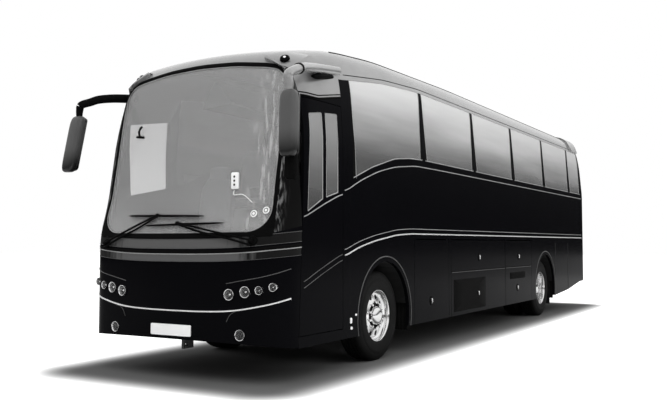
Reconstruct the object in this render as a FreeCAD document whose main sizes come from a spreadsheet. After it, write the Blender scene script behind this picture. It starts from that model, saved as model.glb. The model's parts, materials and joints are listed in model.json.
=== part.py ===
import FreeCAD, Part
import math
import os
import Sketcher
from FreeCAD import Placement, Rotation, Vector

# A two-axle touring coach. Millimetres, +Z up, the nose towards -Y, the coach's own left side
# towards +X. The origin is on the ground below the middle of everything, mirrors included.
# Distances called "back" are measured from the nose towards the tail.

doc = FreeCAD.newDocument("coach")
sheet = doc.addObject("Spreadsheet::Sheet", "Sizes")

SIZES = {
    # overall
    "body_length": 12000, "body_width": 2550, "roof_height": 3650, "skirt_height": 350,
    "mirror_ahead": 200, "mirror_reach": 305,
    # skins and seams
    "wall": 45, "glass_recess": 4, "glass_thickness": 8, "seam": 8, "trim_proud": 8,
    # heights of the body lines
    "windscreen_foot": 1420, "belt_height": 1460, "sill_height": 2408, "head_margin": 30,
    "cant_drop": 330, "shoulder_inset": 67, "bumper_top": 695,
    # nose and tail in plan
    "nose_bow_radius": 5500, "nose_corner_radius": 280, "tail_corner_radius": 180,
    "glass_rake": 236, "tail_depth": 280,
    # roof section
    "crown_radius": 7520, "crown_inset": 325, "shoulder_radius": 300,
    # side windows
    "first_pane_start": 1450, "first_pillar": 3323, "last_pillar_gap": 1297, "pillar_width": 80,
    "last_pane_gap": 360,
    # wheels and axles
    "front_axle_back": 2228, "rear_overhang": 3129, "wheel_radius": 515, "tyre_width": 290,
    "tyre_inset": 95, "twin_pitch": 340, "rim_radius": 292, "rim_flange": 14, "hub_radius": 110,
    "hand_hole_radius": 31, "hand_hole_circle": 217, "arch_radius": 629, "kingpin_radius": 20,
    "kingpin_inset": 395, "spindle_radius": 35, "rear_spindle_radius": 45, "bearing_clearance": 0.5,
    "rail_width": 60,
    # entrance door
    "door_front": 380, "door_lean": 120, "door_rear": 1220, "door_bottom": 462, "door_drop": 522,
    "post_inset": 155,
    # lockers, and the hinges of all flaps and lids
    "locker_top": 1395, "hinge_pin": 5, "hinge_bore": 5.8, "hinge_barrel": 8, "hinge_seam": 14,
    # floors
    "saloon_floor": 1500, "platform_floor": 1050, "bay_floor": 420, "floor_thickness": 40,
    "platform_rear": 1570, "platform_inset": 825, "housing_width": 830,
    # tail
    "lid_inset": 425, "lid_bottom": 780, "lid_top": 1620, "rear_bumper_top": 737,
    # roof hatches
    "hatch_half_width": 400, "hatch_length": 800, "front_hatch_back": 4700, "rear_hatch_gap": 3200,
    "hatch_axis_back": 16, "hatch_axis_drop": 20,
    # seats
    "seat_pitch": 800, "first_row_back": 2150, "last_row_gap": 1210, "aisle_half_width": 240,
}


class Length:
    """A size with its value in millimetres and the sheet expression that gives it."""

    def __init__(self, value, text):
        self.value = float(value)
        self.text = text

    @staticmethod
    def of(other):
        return other if isinstance(other, Length) else Length(other, repr(float(other)))

    def joined(self, other, sign, value):
        return Length(value, f"({self.text} {sign} {Length.of(other).text})")

    def __add__(self, other):
        return self.joined(other, "+", self.value + Length.of(other).value)

    def __sub__(self, other):
        return self.joined(other, "-", self.value - Length.of(other).value)

    def __mul__(self, other):
        return self.joined(other, "*", self.value * Length.of(other).value)

    def __truediv__(self, other):
        return self.joined(other, "/", self.value / Length.of(other).value)

    def __radd__(self, other):
        return Length.of(other) + self

    def __rsub__(self, other):
        return Length.of(other) - self

    def __rmul__(self, other):
        return Length.of(other) * self

    def __neg__(self):
        return Length(-self.value, f"(-{self.text})")

    def __float__(self):
        return self.value


class Sizes:
    """Every named size of the sheet, as an attribute."""


size = Sizes()
for row, (alias, number) in enumerate(SIZES.items(), start=1):
    sheet.set(f"A{row}", alias)
    sheet.set(f"B{row}", str(number))
    sheet.setAlias(f"B{row}", alias)
    setattr(size, alias, Length(number, f"Sizes.{alias}"))
doc.recompute()

# Lengths that follow from the sizes
nose = (size.mirror_ahead - size.body_length) / 2
half_width = size.body_width / 2
tail_start = size.body_length - size.tail_depth
cant_height = size.roof_height - size.cant_drop
window_head = cant_height - size.head_margin
door_top = cant_height - size.door_drop
rear_axle_back = size.body_length - size.rear_overhang
tyre_outer_face = half_width - size.tyre_inset
kingpin_offset = half_width - size.kingpin_inset
housing_inner = half_width - size.housing_width
rail_offset = housing_inner - 15 - size.rail_width / 2
platform_edge = half_width - size.platform_inset
lid_half_width = half_width - size.lid_inset

nodes = []


def back(distance):
    """The Y of a point at this distance behind the nose."""
    return nose + distance


def keep(piece, label):
    """Names a finished sub-part and puts it on the list that is written out."""
    piece.Label = label
    nodes.append(piece)
    return piece


def feature(shape, name="form", placement=Placement()):
    """A form made with shape functions, set in place afterwards."""
    piece = doc.addObject("Part::Feature", name)
    piece.Shape = shape
    piece.Placement = placement
    return piece


def bind(piece, name, value):
    value = Length.of(value)
    piece.setExpression(name, value.text)


def box(x0, x1, y0, y1, z0, z1):
    """A block between two corners, each side bound to the sheet."""
    piece = doc.addObject("Part::Box", "block")
    for name, low, high in (("Length", x0, x1), ("Width", y0, y1), ("Height", z0, z1)):
        bind(piece, name, Length.of(high) - low)
    for name, low in (("x", x0), ("y", y0), ("z", z0)):
        bind(piece, f"Placement.Base.{name}", low)
    return piece


TURNS = {"X": Rotation(Vector(0, 1, 0), 90), "Y": Rotation(Vector(1, 0, 0), -90), "Z": Rotation()}


def cylinder(radius, length, x, y, z, axis="Z"):
    """A truly round bar or bore, for bearings, that runs from a point along X, Y or Z."""
    piece = doc.addObject("Part::Cylinder", "bearing")
    bind(piece, "Radius", radius)
    bind(piece, "Height", length)
    return placed(piece, TURNS[axis], x, y, z)


def bar(radius, length, x, y, z, axis="Z", sides=16):
    """A round form with flat sides, which keep the part light; its corners lie on the radius."""
    piece = doc.addObject("Part::Prism", "bar")
    piece.Polygon = sides
    bind(piece, "Circumradius", radius)
    bind(piece, "Height", length)
    return placed(piece, TURNS[axis].multiply(Rotation(Vector(0, 0, 1), 180 / sides)), x, y, z)


def placed(piece, turn, x, y, z):
    piece.Placement = Placement(Vector(), turn)
    for name, value in (("x", x), ("y", y), ("z", z)):
        bind(piece, f"Placement.Base.{name}", value)
    return piece


def fuse(pieces):
    joined = doc.addObject("Part::MultiFuse", "joined")
    joined.Shapes = pieces
    return joined


def cut(base, tools):
    if isinstance(tools, list):
        tools = tools[0] if len(tools) == 1 else group(tools)
    result = doc.addObject("Part::Cut", "trimmed")
    result.Base = base
    result.Tool = tools
    return result


def common(first, second):
    result = doc.addObject("Part::Common", "shared")
    result.Base = first
    result.Tool = second
    return result


def group(pieces):
    """Solids that stay apart, held as one sub-part."""
    together = doc.addObject("Part::Compound", "set")
    together.Links = pieces
    return together


def mirrored(piece):
    """The same piece on the other side of the coach."""
    other = doc.addObject("Part::Mirroring", "other_side")
    other.Source = piece
    other.Normal = Vector(1, 0, 0)
    return other


def outline(points, plane, start, depth):
    """A closed outline drawn as a constrained sketch and made a prism.

    plane "side" takes (y, z) pairs and runs along X, "front" takes (x, z) and runs along Y,
    and "plan" takes (x, y) and runs along Z.
    """
    sketch = doc.addObject("Sketcher::SketchObject", "outline")
    turn = {
        "side": Rotation(Vector(0, 1, 0), Vector(0, 0, 1), Vector(1, 0, 0), "ZXY"),
        "front": Rotation(Vector(1, 0, 0), Vector(0, 0, 1), Vector(0, -1, 0), "ZXY"),
        "plan": Rotation(),
    }[plane]
    sketch.Placement = Placement(Vector(), turn)
    points = [(Length.of(u), Length.of(v)) for u, v in points]
    count = len(points)
    for index, (u, v) in enumerate(points):
        after = points[(index + 1) % count]
        sketch.addGeometry(Part.LineSegment(Vector(u.value, v.value, 0),
                                            Vector(after[0].value, after[1].value, 0)), False)
    for index in range(count):
        sketch.addConstraint(Sketcher.Constraint("Coincident", index, 2, (index + 1) % count, 1))
    for index, (u, v) in enumerate(points):
        for kind, value in (("DistanceX", u), ("DistanceY", v)):
            row = sketch.addConstraint(Sketcher.Constraint(kind, -1, 1, index, 1, value.value))
            sketch.setExpression(f"Constraints[{row}]", value.text)
    axis = {"side": "x", "front": "y", "plan": "z"}[plane]
    bind(sketch, f"Placement.Base.{axis}", start)
    prism = doc.addObject("Part::Extrusion", "prism")
    prism.Base = sketch
    prism.DirMode = "Custom"
    prism.Dir = {"side": Vector(1, 0, 0), "front": Vector(0, 1, 0), "plan": Vector(0, 0, 1)}[plane]
    bind(prism, "LengthFwd", depth)
    prism.Solid = True
    return prism


# The body skin. Two many-sided forms cross: a row of sections whose roof sinks towards the nose,
# and a stack of plan outlines that gives the raked nose, its corners and the tail. Each side
# keeps its direction from section to section, so every face is flat and every wall even.

def reach(angle, across, along, radius=0.0):
    """How far a round or a point reaches in a direction, measured from the section's origin."""
    return across * math.sin(angle) + along * math.cos(angle) + radius


def meeting(first, second):
    """The point where two sides meet; a side is the angle it faces and its reach."""
    (a, near), (b, far) = first, second
    turn = math.sin(a) * math.cos(b) - math.cos(a) * math.sin(b)
    return (near * math.cos(b) - math.cos(a) * far) / turn, (math.sin(a) * far - math.sin(b) * near) / turn


def closed_outline(sides):
    """Corners of a symmetrical outline from the sides of its one half."""
    others = [(2 * math.pi - a, h) for a, h in reversed(sides) if 0 < a < math.pi]
    whole = sides + others
    return [meeting(*pair) for pair in zip(whole, whole[1:] + whole[:1])]


def flat_faced(rings, closed=False):
    """A solid through a row of outlines with flat sides between them; closed leads back to the first."""
    faces = []
    for low, high in zip(rings, rings[1:] + rings[:1] if closed else rings[1:]):
        for k, corner in enumerate(low):
            after = (k + 1) % len(low)
            faces.append(Part.Face(Part.makePolygon([corner, low[after], high[after], high[k], corner])))
    if not closed:
        faces += [Part.Face(Part.makePolygon(cap + cap[:1])) for cap in (rings[0], rings[-1])]
    solid = Part.makeSolid(Part.makeShell(faces))
    if solid.Volume < 0:
        solid.reverse()
    return solid


def side_at(height):
    """Half the body's width at a height: upright to the sill, then leaning in."""
    above = max(0.0, height - size.sill_height.value)
    return half_width.value - above * lean_of_side()


def lean_of_side():
    return size.shoulder_inset.value / (window_head.value + 160 - size.sill_height.value)


def nose_stations():
    """(height, nose setback, corner radius, tail setback) from the skirt to above the roof."""
    foot, sill = size.windscreen_foot.value, size.sill_height.value
    head, roof = window_head.value, size.roof_height.value
    rake, corner = size.glass_rake.value, size.nose_corner_radius.value
    return [
        (size.skirt_height.value - 100, 0, corner, 0),
        (foot - 200, 0, corner, 0),
        (foot + 30, 0.05 * rake, corner - 10, 0),
        (foot + 380, 0.53 * rake, corner - 40, 0),
        (sill, rake, corner - 70, 0),
        ((sill + head) / 2 + 50, 1.37 * rake, corner - 80, 50),
        (head, 1.78 * rake, corner - 80, 110),
        (roof + 100, 2.37 * rake, corner - 80, 220),
    ]


def plan_section(height, setback, corner, tail, inset):
    """The body's outline at one height: a bowed nose, rounded corners, straight sides."""
    margin = 3
    bow = size.nose_bow_radius.value
    side = side_at(height) + margin
    front = nose.value + setback
    across = side - corner
    along = front + bow - math.sqrt((bow - corner) ** 2 - across ** 2)
    rear = nose.value + size.body_length.value - tail
    bend = size.tail_corner_radius.value
    sides = []
    for degrees in (0, 3.6, 7.2, 10.8):
        angle = math.radians(degrees)
        sides.append((angle, reach(angle, 0, -front - bow, bow)))
    for degrees in (20, 32, 44, 56, 68, 80, 90):
        angle = math.radians(degrees)
        sides.append((angle, reach(angle, across, -along, corner)))
    for degrees in (108, 126, 144, 162, 180):
        angle = math.radians(degrees)
        sides.append((angle, reach(angle, side - bend, bend - rear, bend)))
    corners = closed_outline([(angle, far - inset) for angle, far in sides])
    return [Vector(x, -y, height) for x, y in corners]


def roof_section(station, crown, inset):
    """The body's section at one station: crown, shoulders, leaning upper sides, upright lower sides."""
    bend, small = size.crown_radius.value, size.shoulder_radius.value
    edge = half_width.value - size.crown_inset.value
    start = math.asin(edge / bend)
    across = edge - small * math.sin(start)
    centre = crown - bend
    along = centre + (bend - small) * math.cos(start)
    sides = []
    for degrees in (0, 2.4, 4.8, 7.2):
        angle = math.radians(degrees)
        sides.append((angle, reach(angle, 0, centre, bend)))
    for degrees in (18, 30, 42, 54, 65):
        angle = math.radians(degrees)
        sides.append((angle, reach(angle, across, along, small)))
    upright, sill = half_width.value, size.sill_height.value
    angle = math.pi / 2 - math.atan(lean_of_side())
    foot = 150 - size.skirt_height.value
    sides += [(angle, reach(angle, upright, sill)), (math.pi / 2, upright), (math.pi, foot)]
    return [Vector(x, station, z) for x, z in closed_outline([(angle, far - inset) for angle, far in sides])]


# How far the crown lies below the roof height at each distance behind the nose
ROOF_SINK = [(-300, 560), (450, 340), (800, 230), (1300, 125), (2300, 43), (4600, 0)]


def skin(inset):
    """The body's closed form, this far inside the outer face."""
    crown = size.roof_height.value
    stations = ROOF_SINK + [(size.body_length.value + 300, 0)]
    roof = flat_faced([roof_section(nose.value + at, crown - depth, inset) for at, depth in stations])
    stack = flat_faced([plan_section(*station, inset) for station in nose_stations()])
    return roof.common(stack)


outer_skin = skin(0)
body_shell = feature(outer_skin.cut(skin(size.wall.value)), "body_shell")
glass_shell = feature(skin(size.glass_recess.value).cut(
    skin(size.glass_recess.value + size.glass_thickness.value)), "glass_shell")
trim_shell = feature(skin(-size.trim_proud.value).cut(outer_skin), "trim_shell")
cabin_space = feature(skin(size.wall.value), "cabin_space")
body_clearance = feature(skin(-0.3), "body_clearance")

# Lines that the panels share, as (back, height) points

ROOF_EDGE = [(at, size.roof_height - drop) for at, drop in
             ((250, 320), (420, 380), (500, 437), (700, 580), (1450, 485), (2300, 385))]
ROOF_EDGE.append((3300, cant_height))
door_slope = size.door_lean / (door_top - size.door_bottom)
far_back = size.body_length + 100
left_low, left_high = 900, half_width + 60 - 900


def door_edge(height, gap=0):
    """The Y of the door's leaning front edge at a height, moved back by gap."""
    return back(size.door_front + (Length.of(height) - size.door_bottom) * door_slope + gap)


def roof_region():
    points = [(back(a), b) for a, b in ROOF_EDGE]
    above = size.roof_height + 250
    points += [(back(far_back), cant_height), (back(far_back), above), (back(-300), above),
               (back(-300), size.roof_height - 290)]
    return outline(points, "side", -1500, 3000)


def on_left(points):
    return outline(points, "side", left_low, left_high)


def pane_starts():
    """(start, end) of each side window between its pillars."""
    half_post = size.pillar_width / 2
    spans = [(size.first_pane_start, size.first_pillar - half_post)]
    last_pillar = size.body_length - size.last_pillar_gap
    pitch = (last_pillar - size.first_pillar) / 4
    for index in range(4):
        post = size.first_pillar + pitch * index
        spans.append((post + half_post, post + pitch - half_post))
    spans.append((last_pillar + half_post, size.body_length - size.last_pane_gap))
    return spans


def side_pane(index, start, end):
    """The first pane sweeps down and its head sinks with the roof; the others are square."""
    head, sill = window_head, size.sill_height
    if index == 0:
        points = [(start, sill - 358), (start + 1020, sill - 58), (end, sill), (end, head),
                  (start + 850, head - 55), (start, head - 160)]
    else:
        points = [(start, sill), (end, sill), (end, head), (start, head)]
    return on_left([(back(a), b) for a, b in points])


side_openings = [side_pane(i, *span) for i, span in enumerate(pane_starts())]
driver_opening = on_left([(back(670), size.belt_height + 440), (back(1300), size.belt_height + 560),
                          (back(1290), window_head - 460), (back(620), window_head - 570)])


def both_ways(points):
    """An outline from its half on the coach's left, with the other half mirrored."""
    return points + [(-Length.of(x), z) for x, z in reversed(points) if float(x)]


def windscreen_outline():
    low, high = size.windscreen_foot, size.roof_height
    upper = [(inset, size.sill_height + (window_head - size.sill_height) * share)
             for inset, share in ((135, 0.6145), (195, 0.7392), (375, 0.83))]
    return both_ways([(0, low + 12), (half_width - 215, low + 28), (half_width - 135, low + 110)]
                     + [(half_width - inset, height) for inset, height in upper]
                     + [(450, high - 455), (0, high - 438)])


windscreen_opening = outline(windscreen_outline(), "front", nose - 250, 1000)
door_frame = [(door_edge(size.door_bottom), size.door_bottom), (back(size.door_rear), size.door_bottom),
              (back(size.door_rear), door_top), (door_edge(door_top), door_top)]
pane_foot, pane_head = 1660, door_top - 148
door_panes = [
    on_left([(door_edge(pane_foot, 90), pane_foot), (back(815), 1790), (back(815), pane_head),
             (door_edge(pane_head, 90), pane_head)]),
    on_left([(back(855), 1805), (back(1135), 1880), (back(1135), pane_head), (back(855), pane_head)]),
]


def panel(region, shell=None):
    return common(shell or body_shell, region)


def hatch_places():
    return size.front_hatch_back, size.body_length - size.rear_hatch_gap


def roof_panel():
    places = hatch_places()
    openings = [box(-size.hatch_half_width, size.hatch_half_width, back(at - size.hinge_seam),
                    back(at + size.hatch_length), size.roof_height - 200, size.roof_height + 200) for at in places]
    pins = [cylinder(size.hinge_pin, 80, size.hatch_half_width * side - 40, back(at + size.hatch_axis_back),
                     size.roof_height - size.hatch_axis_drop, "X") for at in places for side in (-1, 1)]
    keep(fuse([cut(panel(roof_region()), openings)] + pins), "roof_panel")


def windscreen():
    keep(panel(windscreen_opening, glass_shell), "windscreen")


def lamp_barrels():
    """Four round lamps on each side of the nose, as (inset from the side, height, radius, back)."""
    rows = [(585, 860, 65, 29), (415, 890, 65, 53), (275, 900, 42, 77), (145, 930, 40, 117)]
    return [bar(radius, 60, (half_width - inset) * side, back(depth), height, "Y", 12)
            for inset, height, radius, depth in rows for side in (-1, 1)]


def fog_barrels():
    return [bar(57, 60, (half_width - 460) * side, back(48), size.skirt_height + 130, "Y", 12) for side in (-1, 1)]


def front_panel():
    """The nose moulding: below, beside and above the windscreen."""
    low, top = size.bumper_top, door_top + size.seam
    points = [(back(-100), low), (door_edge(low, -size.seam), low), (door_edge(top, -size.seam), top)]
    points += [(back(a), b) for a, b in ROOF_EDGE[2::-1]] + [(back(-100), size.roof_height - 250)]
    region = outline(points, "side", -1500, 3000)
    keep(cut(panel(region), [windscreen_opening] + lamp_barrels()), "front_panel")


def bumpers():
    low = size.skirt_height + 70
    front = outline([(back(-100), low), (back(size.door_front - size.seam), size.skirt_height),
                     (back(size.door_front - size.seam), size.bumper_top), (back(-100), size.bumper_top)],
                    "side", -1500, 3000)
    rear = outline([(back(tail_start), 560), (back(far_back), 480), (back(far_back), size.rear_bumper_top),
                    (back(tail_start), size.rear_bumper_top)], "side", -1500, 3000)
    keep(group([cut(panel(front), fog_barrels()), panel(rear)]), "bumpers")


def side_walls():
    seam = size.seam
    low, lintel = size.belt_height, door_top + seam
    head = [(tail_start, low), (tail_start, cant_height)] + ROOF_EDGE[:1:-1]
    head = [(back(a), b) for a, b in head] + [(door_edge(lintel, -seam), lintel)]
    behind_door = back(size.door_rear + seam)
    left = on_left([(behind_door, low)] + head + [(behind_door, lintel)])
    keep(cut(panel(left), side_openings), "left_wall")
    right = on_left([(door_edge(low, -seam), low)] + head)
    keep(mirrored(cut(panel(right), side_openings + [driver_opening])), "right_wall")


def side_glass():
    panes = [panel(opening, glass_shell) for opening in side_openings]
    keep(group(panes), "side_glass_left")
    panes = [mirrored(panel(opening, glass_shell)) for opening in side_openings + [driver_opening]]
    keep(group(panes), "side_glass_right")


LOCKERS = [(size.front_axle_back + 792, size.front_axle_back + 1902),
           (size.front_axle_back + 1992, rear_axle_back - 2366), (rear_axle_back - 2321, rear_axle_back - 901)]


def arches():
    return [bar(size.arch_radius, 700, half_width - 475, back(at), size.wheel_radius, "X", 32)
            for at in (size.front_axle_back, rear_axle_back)]


def skirts():
    seam = size.seam
    low, top = size.skirt_height, size.belt_height
    tail = [(tail_start, top), (tail_start, low + 210), (size.body_length - 1480, low + 60),
            (size.body_length - 2440, low)]
    head = size.locker_top + size.hinge_seam
    lockers = [on_left([(back(a - seam), low - 60), (back(b + seam), low - 60), (back(b + seam), head),
                        (back(a - seam), head)]) for a, b in LOCKERS]
    start = size.door_front - seam
    points = [(start, low), (start, size.door_bottom - seam),
              (size.door_rear + seam, size.door_bottom - seam), (size.door_rear + seam, top)] + tail
    left = on_left([(back(a), b) for a, b in points])
    keep(fuse([cut(panel(left), lockers + arches())] + locker_pins()), "left_skirt")
    points = [(back(start), low), (back(start), size.bumper_top)]
    points += [(door_edge(height, -seam), height) for height in (size.bumper_top, top)]
    points += [(back(a), b) for a, b in tail]
    right = on_left(points)
    keep(mirrored(fuse([cut(panel(right), lockers + arches())] + locker_pins())), "right_skirt")


def locker_pins():
    """Short pins on the skirt at both ends of each flap's hinge line."""
    across = half_width - size.hinge_barrel
    return [cylinder(size.hinge_pin, 80, across, back(at - 40), size.locker_top, "Y")
            for pair in LOCKERS for at in pair]


def hinged(flap, first, last, x, y, z, axis):
    """A flap with two barrels on its hinge line, bored for the pins of the body."""
    length = 100
    ends = [{"X": (at, y, z), "Y": (x, at, z)}[axis] for at in (first, Length.of(last) - length)]
    barrels = [bar(size.hinge_barrel, length, *end, axis, 8) for end in ends]
    bores = [bar(size.hinge_bore, length + 40, *end, axis, 8)
             for end in [{"X": (at, y, z), "Y": (x, at, z)}[axis] for at in
                         (Length.of(first) - 40, Length.of(last) - length)]]
    return cut(fuse([flap] + barrels), bores)


def locker_flaps():
    for index, (start, end) in enumerate(LOCKERS, start=1):
        region = on_left([(back(start), size.skirt_height), (back(end), size.skirt_height),
                          (back(end), size.locker_top), (back(start), size.locker_top)])
        across = half_width - size.hinge_barrel
        flap = hinged(panel(region), back(start), back(end), across, 0, size.locker_top, "Y")
        keep(flap, f"left_locker_flap_{index}")
        keep(mirrored(flap), f"right_locker_flap_{index}")


lid_opening = [(-lid_half_width, size.lid_bottom), (lid_half_width, size.lid_bottom),
               (lid_half_width, size.lid_top), (-lid_half_width, size.lid_top)]
tail_window = both_ways([(half_width - 325, size.sill_height - 58), (half_width - 375, cant_height - 170)])


def tail_lamp_barrels():
    return [bar(60, 60, (half_width - 265) * side, back(size.body_length - 52), height, "Y", 12)
            for side in (-1, 1) for height in (940, 1085, 1230)]


def rear_panel():
    region = outline([(back(tail_start), size.rear_bumper_top), (back(far_back), size.rear_bumper_top),
                      (back(far_back), cant_height), (back(tail_start), cant_height)],
                     "side", -1500, 3000)
    seam = size.seam
    half, head = lid_half_width + seam, size.lid_top + size.hinge_seam
    lid = outline([(-half, size.lid_bottom - seam), (half, size.lid_bottom - seam), (half, head), (-half, head)],
                  "front", back(tail_start), 600)
    window = outline(tail_window, "front", back(tail_start - 100), 700)
    hinge_y = back(size.body_length - size.hinge_barrel)
    pins = [cylinder(size.hinge_pin, 80, lid_half_width * side - 40, hinge_y, size.lid_top, "X")
            for side in (-1, 1)]
    keep(fuse([cut(panel(region), [lid, window] + tail_lamp_barrels())] + pins), "rear_panel")
    keep(panel(window, glass_shell), "rear_window")
    lid = panel(outline(lid_opening, "front", back(tail_start), 600))
    keep(hinged(lid, -lid_half_width, lid_half_width, 0, hinge_y, size.lid_top, "X"), "engine_lid")


def roof_hatches():
    seam = size.seam
    half = size.hatch_half_width - seam
    for label, at in zip(("front_roof_hatch", "rear_roof_hatch"), hatch_places()):
        region = box(-half, half, back(at + seam), back(at + size.hatch_length - seam),
                     size.roof_height - 200, size.roof_height + 200)
        keep(hinged(panel(region), -half, half, 0, back(at + size.hatch_axis_back),
                    size.roof_height - size.hatch_axis_drop, "X"), label)


def brightwork():
    """Bright mouldings: one along each side at the belt and one across the nose."""
    line = size.belt_height + 10
    sweep = [(size.door_rear + 30, line - 260), (1580, line - 160), (1950, line - 90), (2510, line - 20),
             (2920, line), (tail_start, line)]
    upper = [(a, b + 11) for a, b in sweep]
    lower = [(a, b - 11) for a, b in reversed(sweep)]
    side = on_left([(back(a), b) for a, b in upper + lower])
    moulding = panel(side, trim_shell)
    low, high = size.bumper_top - 23, size.bumper_top - 1
    nose_strip = outline([(back(-100), low), (back(330), low), (back(330), high), (back(-100), high)],
                         "side", -1500, 3000)
    keep(group([moulding, mirrored(moulding), panel(nose_strip, trim_shell)]), "brightwork")


# Inside

def floors():
    floor, thick = size.saloon_floor, size.floor_thickness
    inside = half_width - size.wall
    start = back(size.platform_rear)
    deck = box(-inside, inside, start, back(tail_start - 60), floor - thick, floor)
    platform = box(-inside, platform_edge, back(180), start, size.platform_floor - thick, size.platform_floor)
    riser = box(-inside, platform_edge, start, start + 15, size.platform_floor - thick, floor - thick)
    whole = fuse([deck, platform, riser])
    keep(common(whole, cabin_space), "saloon_floor")


def entry_steps():
    """Four treads from the door sill up to the driver's platform, one solid stair."""
    front, rear = back(440), back(size.door_rear - 10)
    low = size.skirt_height + 15
    rise = (size.platform_floor - size.skirt_height - 15) / 4
    sill = half_width - size.wall
    top = size.platform_floor
    first, second, third = platform_edge + 500, platform_edge + 250, platform_edge + 50
    points = [(sill, low), (sill, low + 15), (first, low + 15), (first, low + rise), (second, low + rise),
              (second, low + rise * 2), (third, low + rise * 2), (third, low + rise * 3),
              (platform_edge + 30, low + rise * 3), (platform_edge + 30, top), (platform_edge, top),
              (platform_edge, low)]
    stair = outline(points, "front", front, rear - front)
    keep(stair, "entry_steps")


BAY = (size.front_axle_back + 757, rear_axle_back - 871)
BULKHEADS = [BAY[0] + 10, (LOCKERS[0][1] + LOCKERS[1][0]) / 2, (LOCKERS[1][1] + LOCKERS[2][0]) / 2, BAY[1] - 10]


def bay_floor():
    floor = size.bay_floor
    inside = half_width - size.wall - 6
    base = box(-inside, inside, back(BAY[0]), back(BAY[1]), floor - 40, floor)
    walls = [box(-inside, inside, back(at - 10), back(at + 10), floor, size.saloon_floor - size.floor_thickness)
             for at in BULKHEADS]
    keep(fuse([base] + walls), "bay_floor")


def wheel_housings():
    """An arched box over each pair of wheels, open below and outwards, and its mud flaps."""
    housings = []
    outer = half_width - size.wall
    inner = housing_inner
    for at, flap in ((size.front_axle_back, 0), (rear_axle_back, 1)):
        radius = size.arch_radius
        shell = bar(radius + 15, outer - inner + 15, inner - 15, back(at), size.wheel_radius, "X", 32)
        space = bar(radius, outer - inner + 100, inner, back(at), size.wheel_radius, "X", 32)
        lower = box(inner - 40, outer + 100, back(at - radius - 100), back(at + radius + 100), -400, 620)
        housing = cut(cut(shell, [space]), [lower])
        housings += [housing, mirrored(housing)]
        if flap:
            behind = back(at + radius)
            curtain = box(half_width - 715, half_width - 105, behind + 2, behind + 10, 180, 620)
            housings += [curtain, mirrored(curtain)]
    keep(group(housings), "wheel_housings")


def rail_gap():
    """Half the width between the chassis rails."""
    return rail_offset - size.rail_width / 2


def towing_eye():
    """A lug below the nose, bored for a pin that passes below the skirts, and the bar that carries it."""
    plate = box(-15, 15, back(180), back(330), 285, 640)
    beam = box(-rail_gap(), rail_gap(), back(270), back(330), 620, 660)
    bore = cylinder(20, 60, -30, back(225), 330, "X")
    return cut(fuse([plate, beam]), [bore])


def chassis_rails():
    lengths = []
    gap, wide, offset = rail_gap(), size.rail_width, rail_offset
    for start, end in ((300, BAY[0]), (BAY[1], size.body_length - 400)):
        rails = [box(x, x + wide, back(start), back(end), 620, 820) for x in (gap, -gap - wide)]
        ties = [box(-gap, gap, back(at), back(at + 60), 640, 800) for at in (start + 100, end - 160)]
        lengths.append(rails + ties)
    lengths[0].append(towing_eye())
    lengths[1] += [box(x - 45, x + 45, back(BAY[1] + 80), back(BAY[1] + 200), 590, 620) for x in (offset, -offset)]
    keep(group([fuse(pieces) for pieces in lengths]), "chassis_rails")


def engine_unit():
    """The heavy unit as one block between the rails, with its silencer and tailpipe."""
    tail = size.body_length
    block = box(-rail_gap(), rail_gap(), back(tail - 1850), back(tail - 650), 560, 1330)
    beside = -rail_offset - size.rail_width / 2
    silencer = box(beside - 290, beside, back(tail - 1300), back(tail - 750), 440, 800)
    pipe = bar(45, 650, beside - 210, back(tail - 750), 500, "Y", 12)
    keep(group([block, fuse([silencer, pipe])]), "engine_unit")


def front_axle():
    y = back(size.front_axle_back)
    low, places = size.wheel_radius - 75, (kingpin_offset, -kingpin_offset)
    beam = box(-kingpin_offset, kingpin_offset, y - 45, y + 45, low, low + 100)
    ends = [bar(50, 150, x, y, low, sides=12) for x in places]
    bores = [cylinder(size.kingpin_radius + size.bearing_clearance, 400, x, y, low - 125) for x in places]
    springs = [bar(90, 80, x, y, low + 100, sides=12) for x in (rail_offset, -rail_offset)]
    keep(cut(fuse([beam] + ends + springs), bores), "front_axle")


def rear_axle():
    y = back(rear_axle_back)
    z = size.wheel_radius
    inner, outer = half_width - 755, half_width - 185
    tube = bar(80, inner * 2, -inner, y, z, "X", 12)
    case = bar(210, 260, -130, y, z, "X")
    spindle = bar(size.rear_spindle_radius, outer * 2, -outer, y, z, "X")
    springs = [bar(70, 60, x, y, z + 45, sides=12) for x in (rail_offset, -rail_offset)]
    keep(fuse([tube, case, spindle] + springs), "rear_axle")


def knuckles():
    """A fork on each kingpin, with the spindle that carries the wheel."""
    y = back(size.front_axle_back)
    z = size.wheel_radius
    x = kingpin_offset
    pin = bar(size.kingpin_radius, 260, x, y, z - 130, sides=12)
    top = box(x - 40, x + 115, y - 45, y + 45, z + 85, z + 115)
    bottom = box(x - 40, x + 115, y - 45, y + 45, z - 115, z - 85)
    web = box(x + 85, x + 115, y - 45, y + 45, z - 115, z + 115)
    spindle = bar(size.spindle_radius, 140, x + 100, y, z, "X")
    knuckle = fuse([pin, top, bottom, web, spindle])
    keep(knuckle, "left_knuckle")
    keep(mirrored(knuckle), "right_knuckle")


# Wheels

WHEEL_SIDES = 32


def ring(profile, x, y, z):
    """A closed profile of (across, radius) points turned about an axle; the middle of each flat
    side lies on the radius."""
    step = 2 * math.pi / WHEEL_SIDES
    centre = Vector(float(x), float(y), float(z))
    rings = []
    for across, radius in profile:
        corner = float(radius) / math.cos(step / 2)
        angles = [step * (k + 0.5) for k in range(WHEEL_SIDES)]
        rings.append([centre + Vector(float(across), corner * math.sin(a), corner * math.cos(a)) for a in angles])
    return flat_faced(rings, closed=True)


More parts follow.
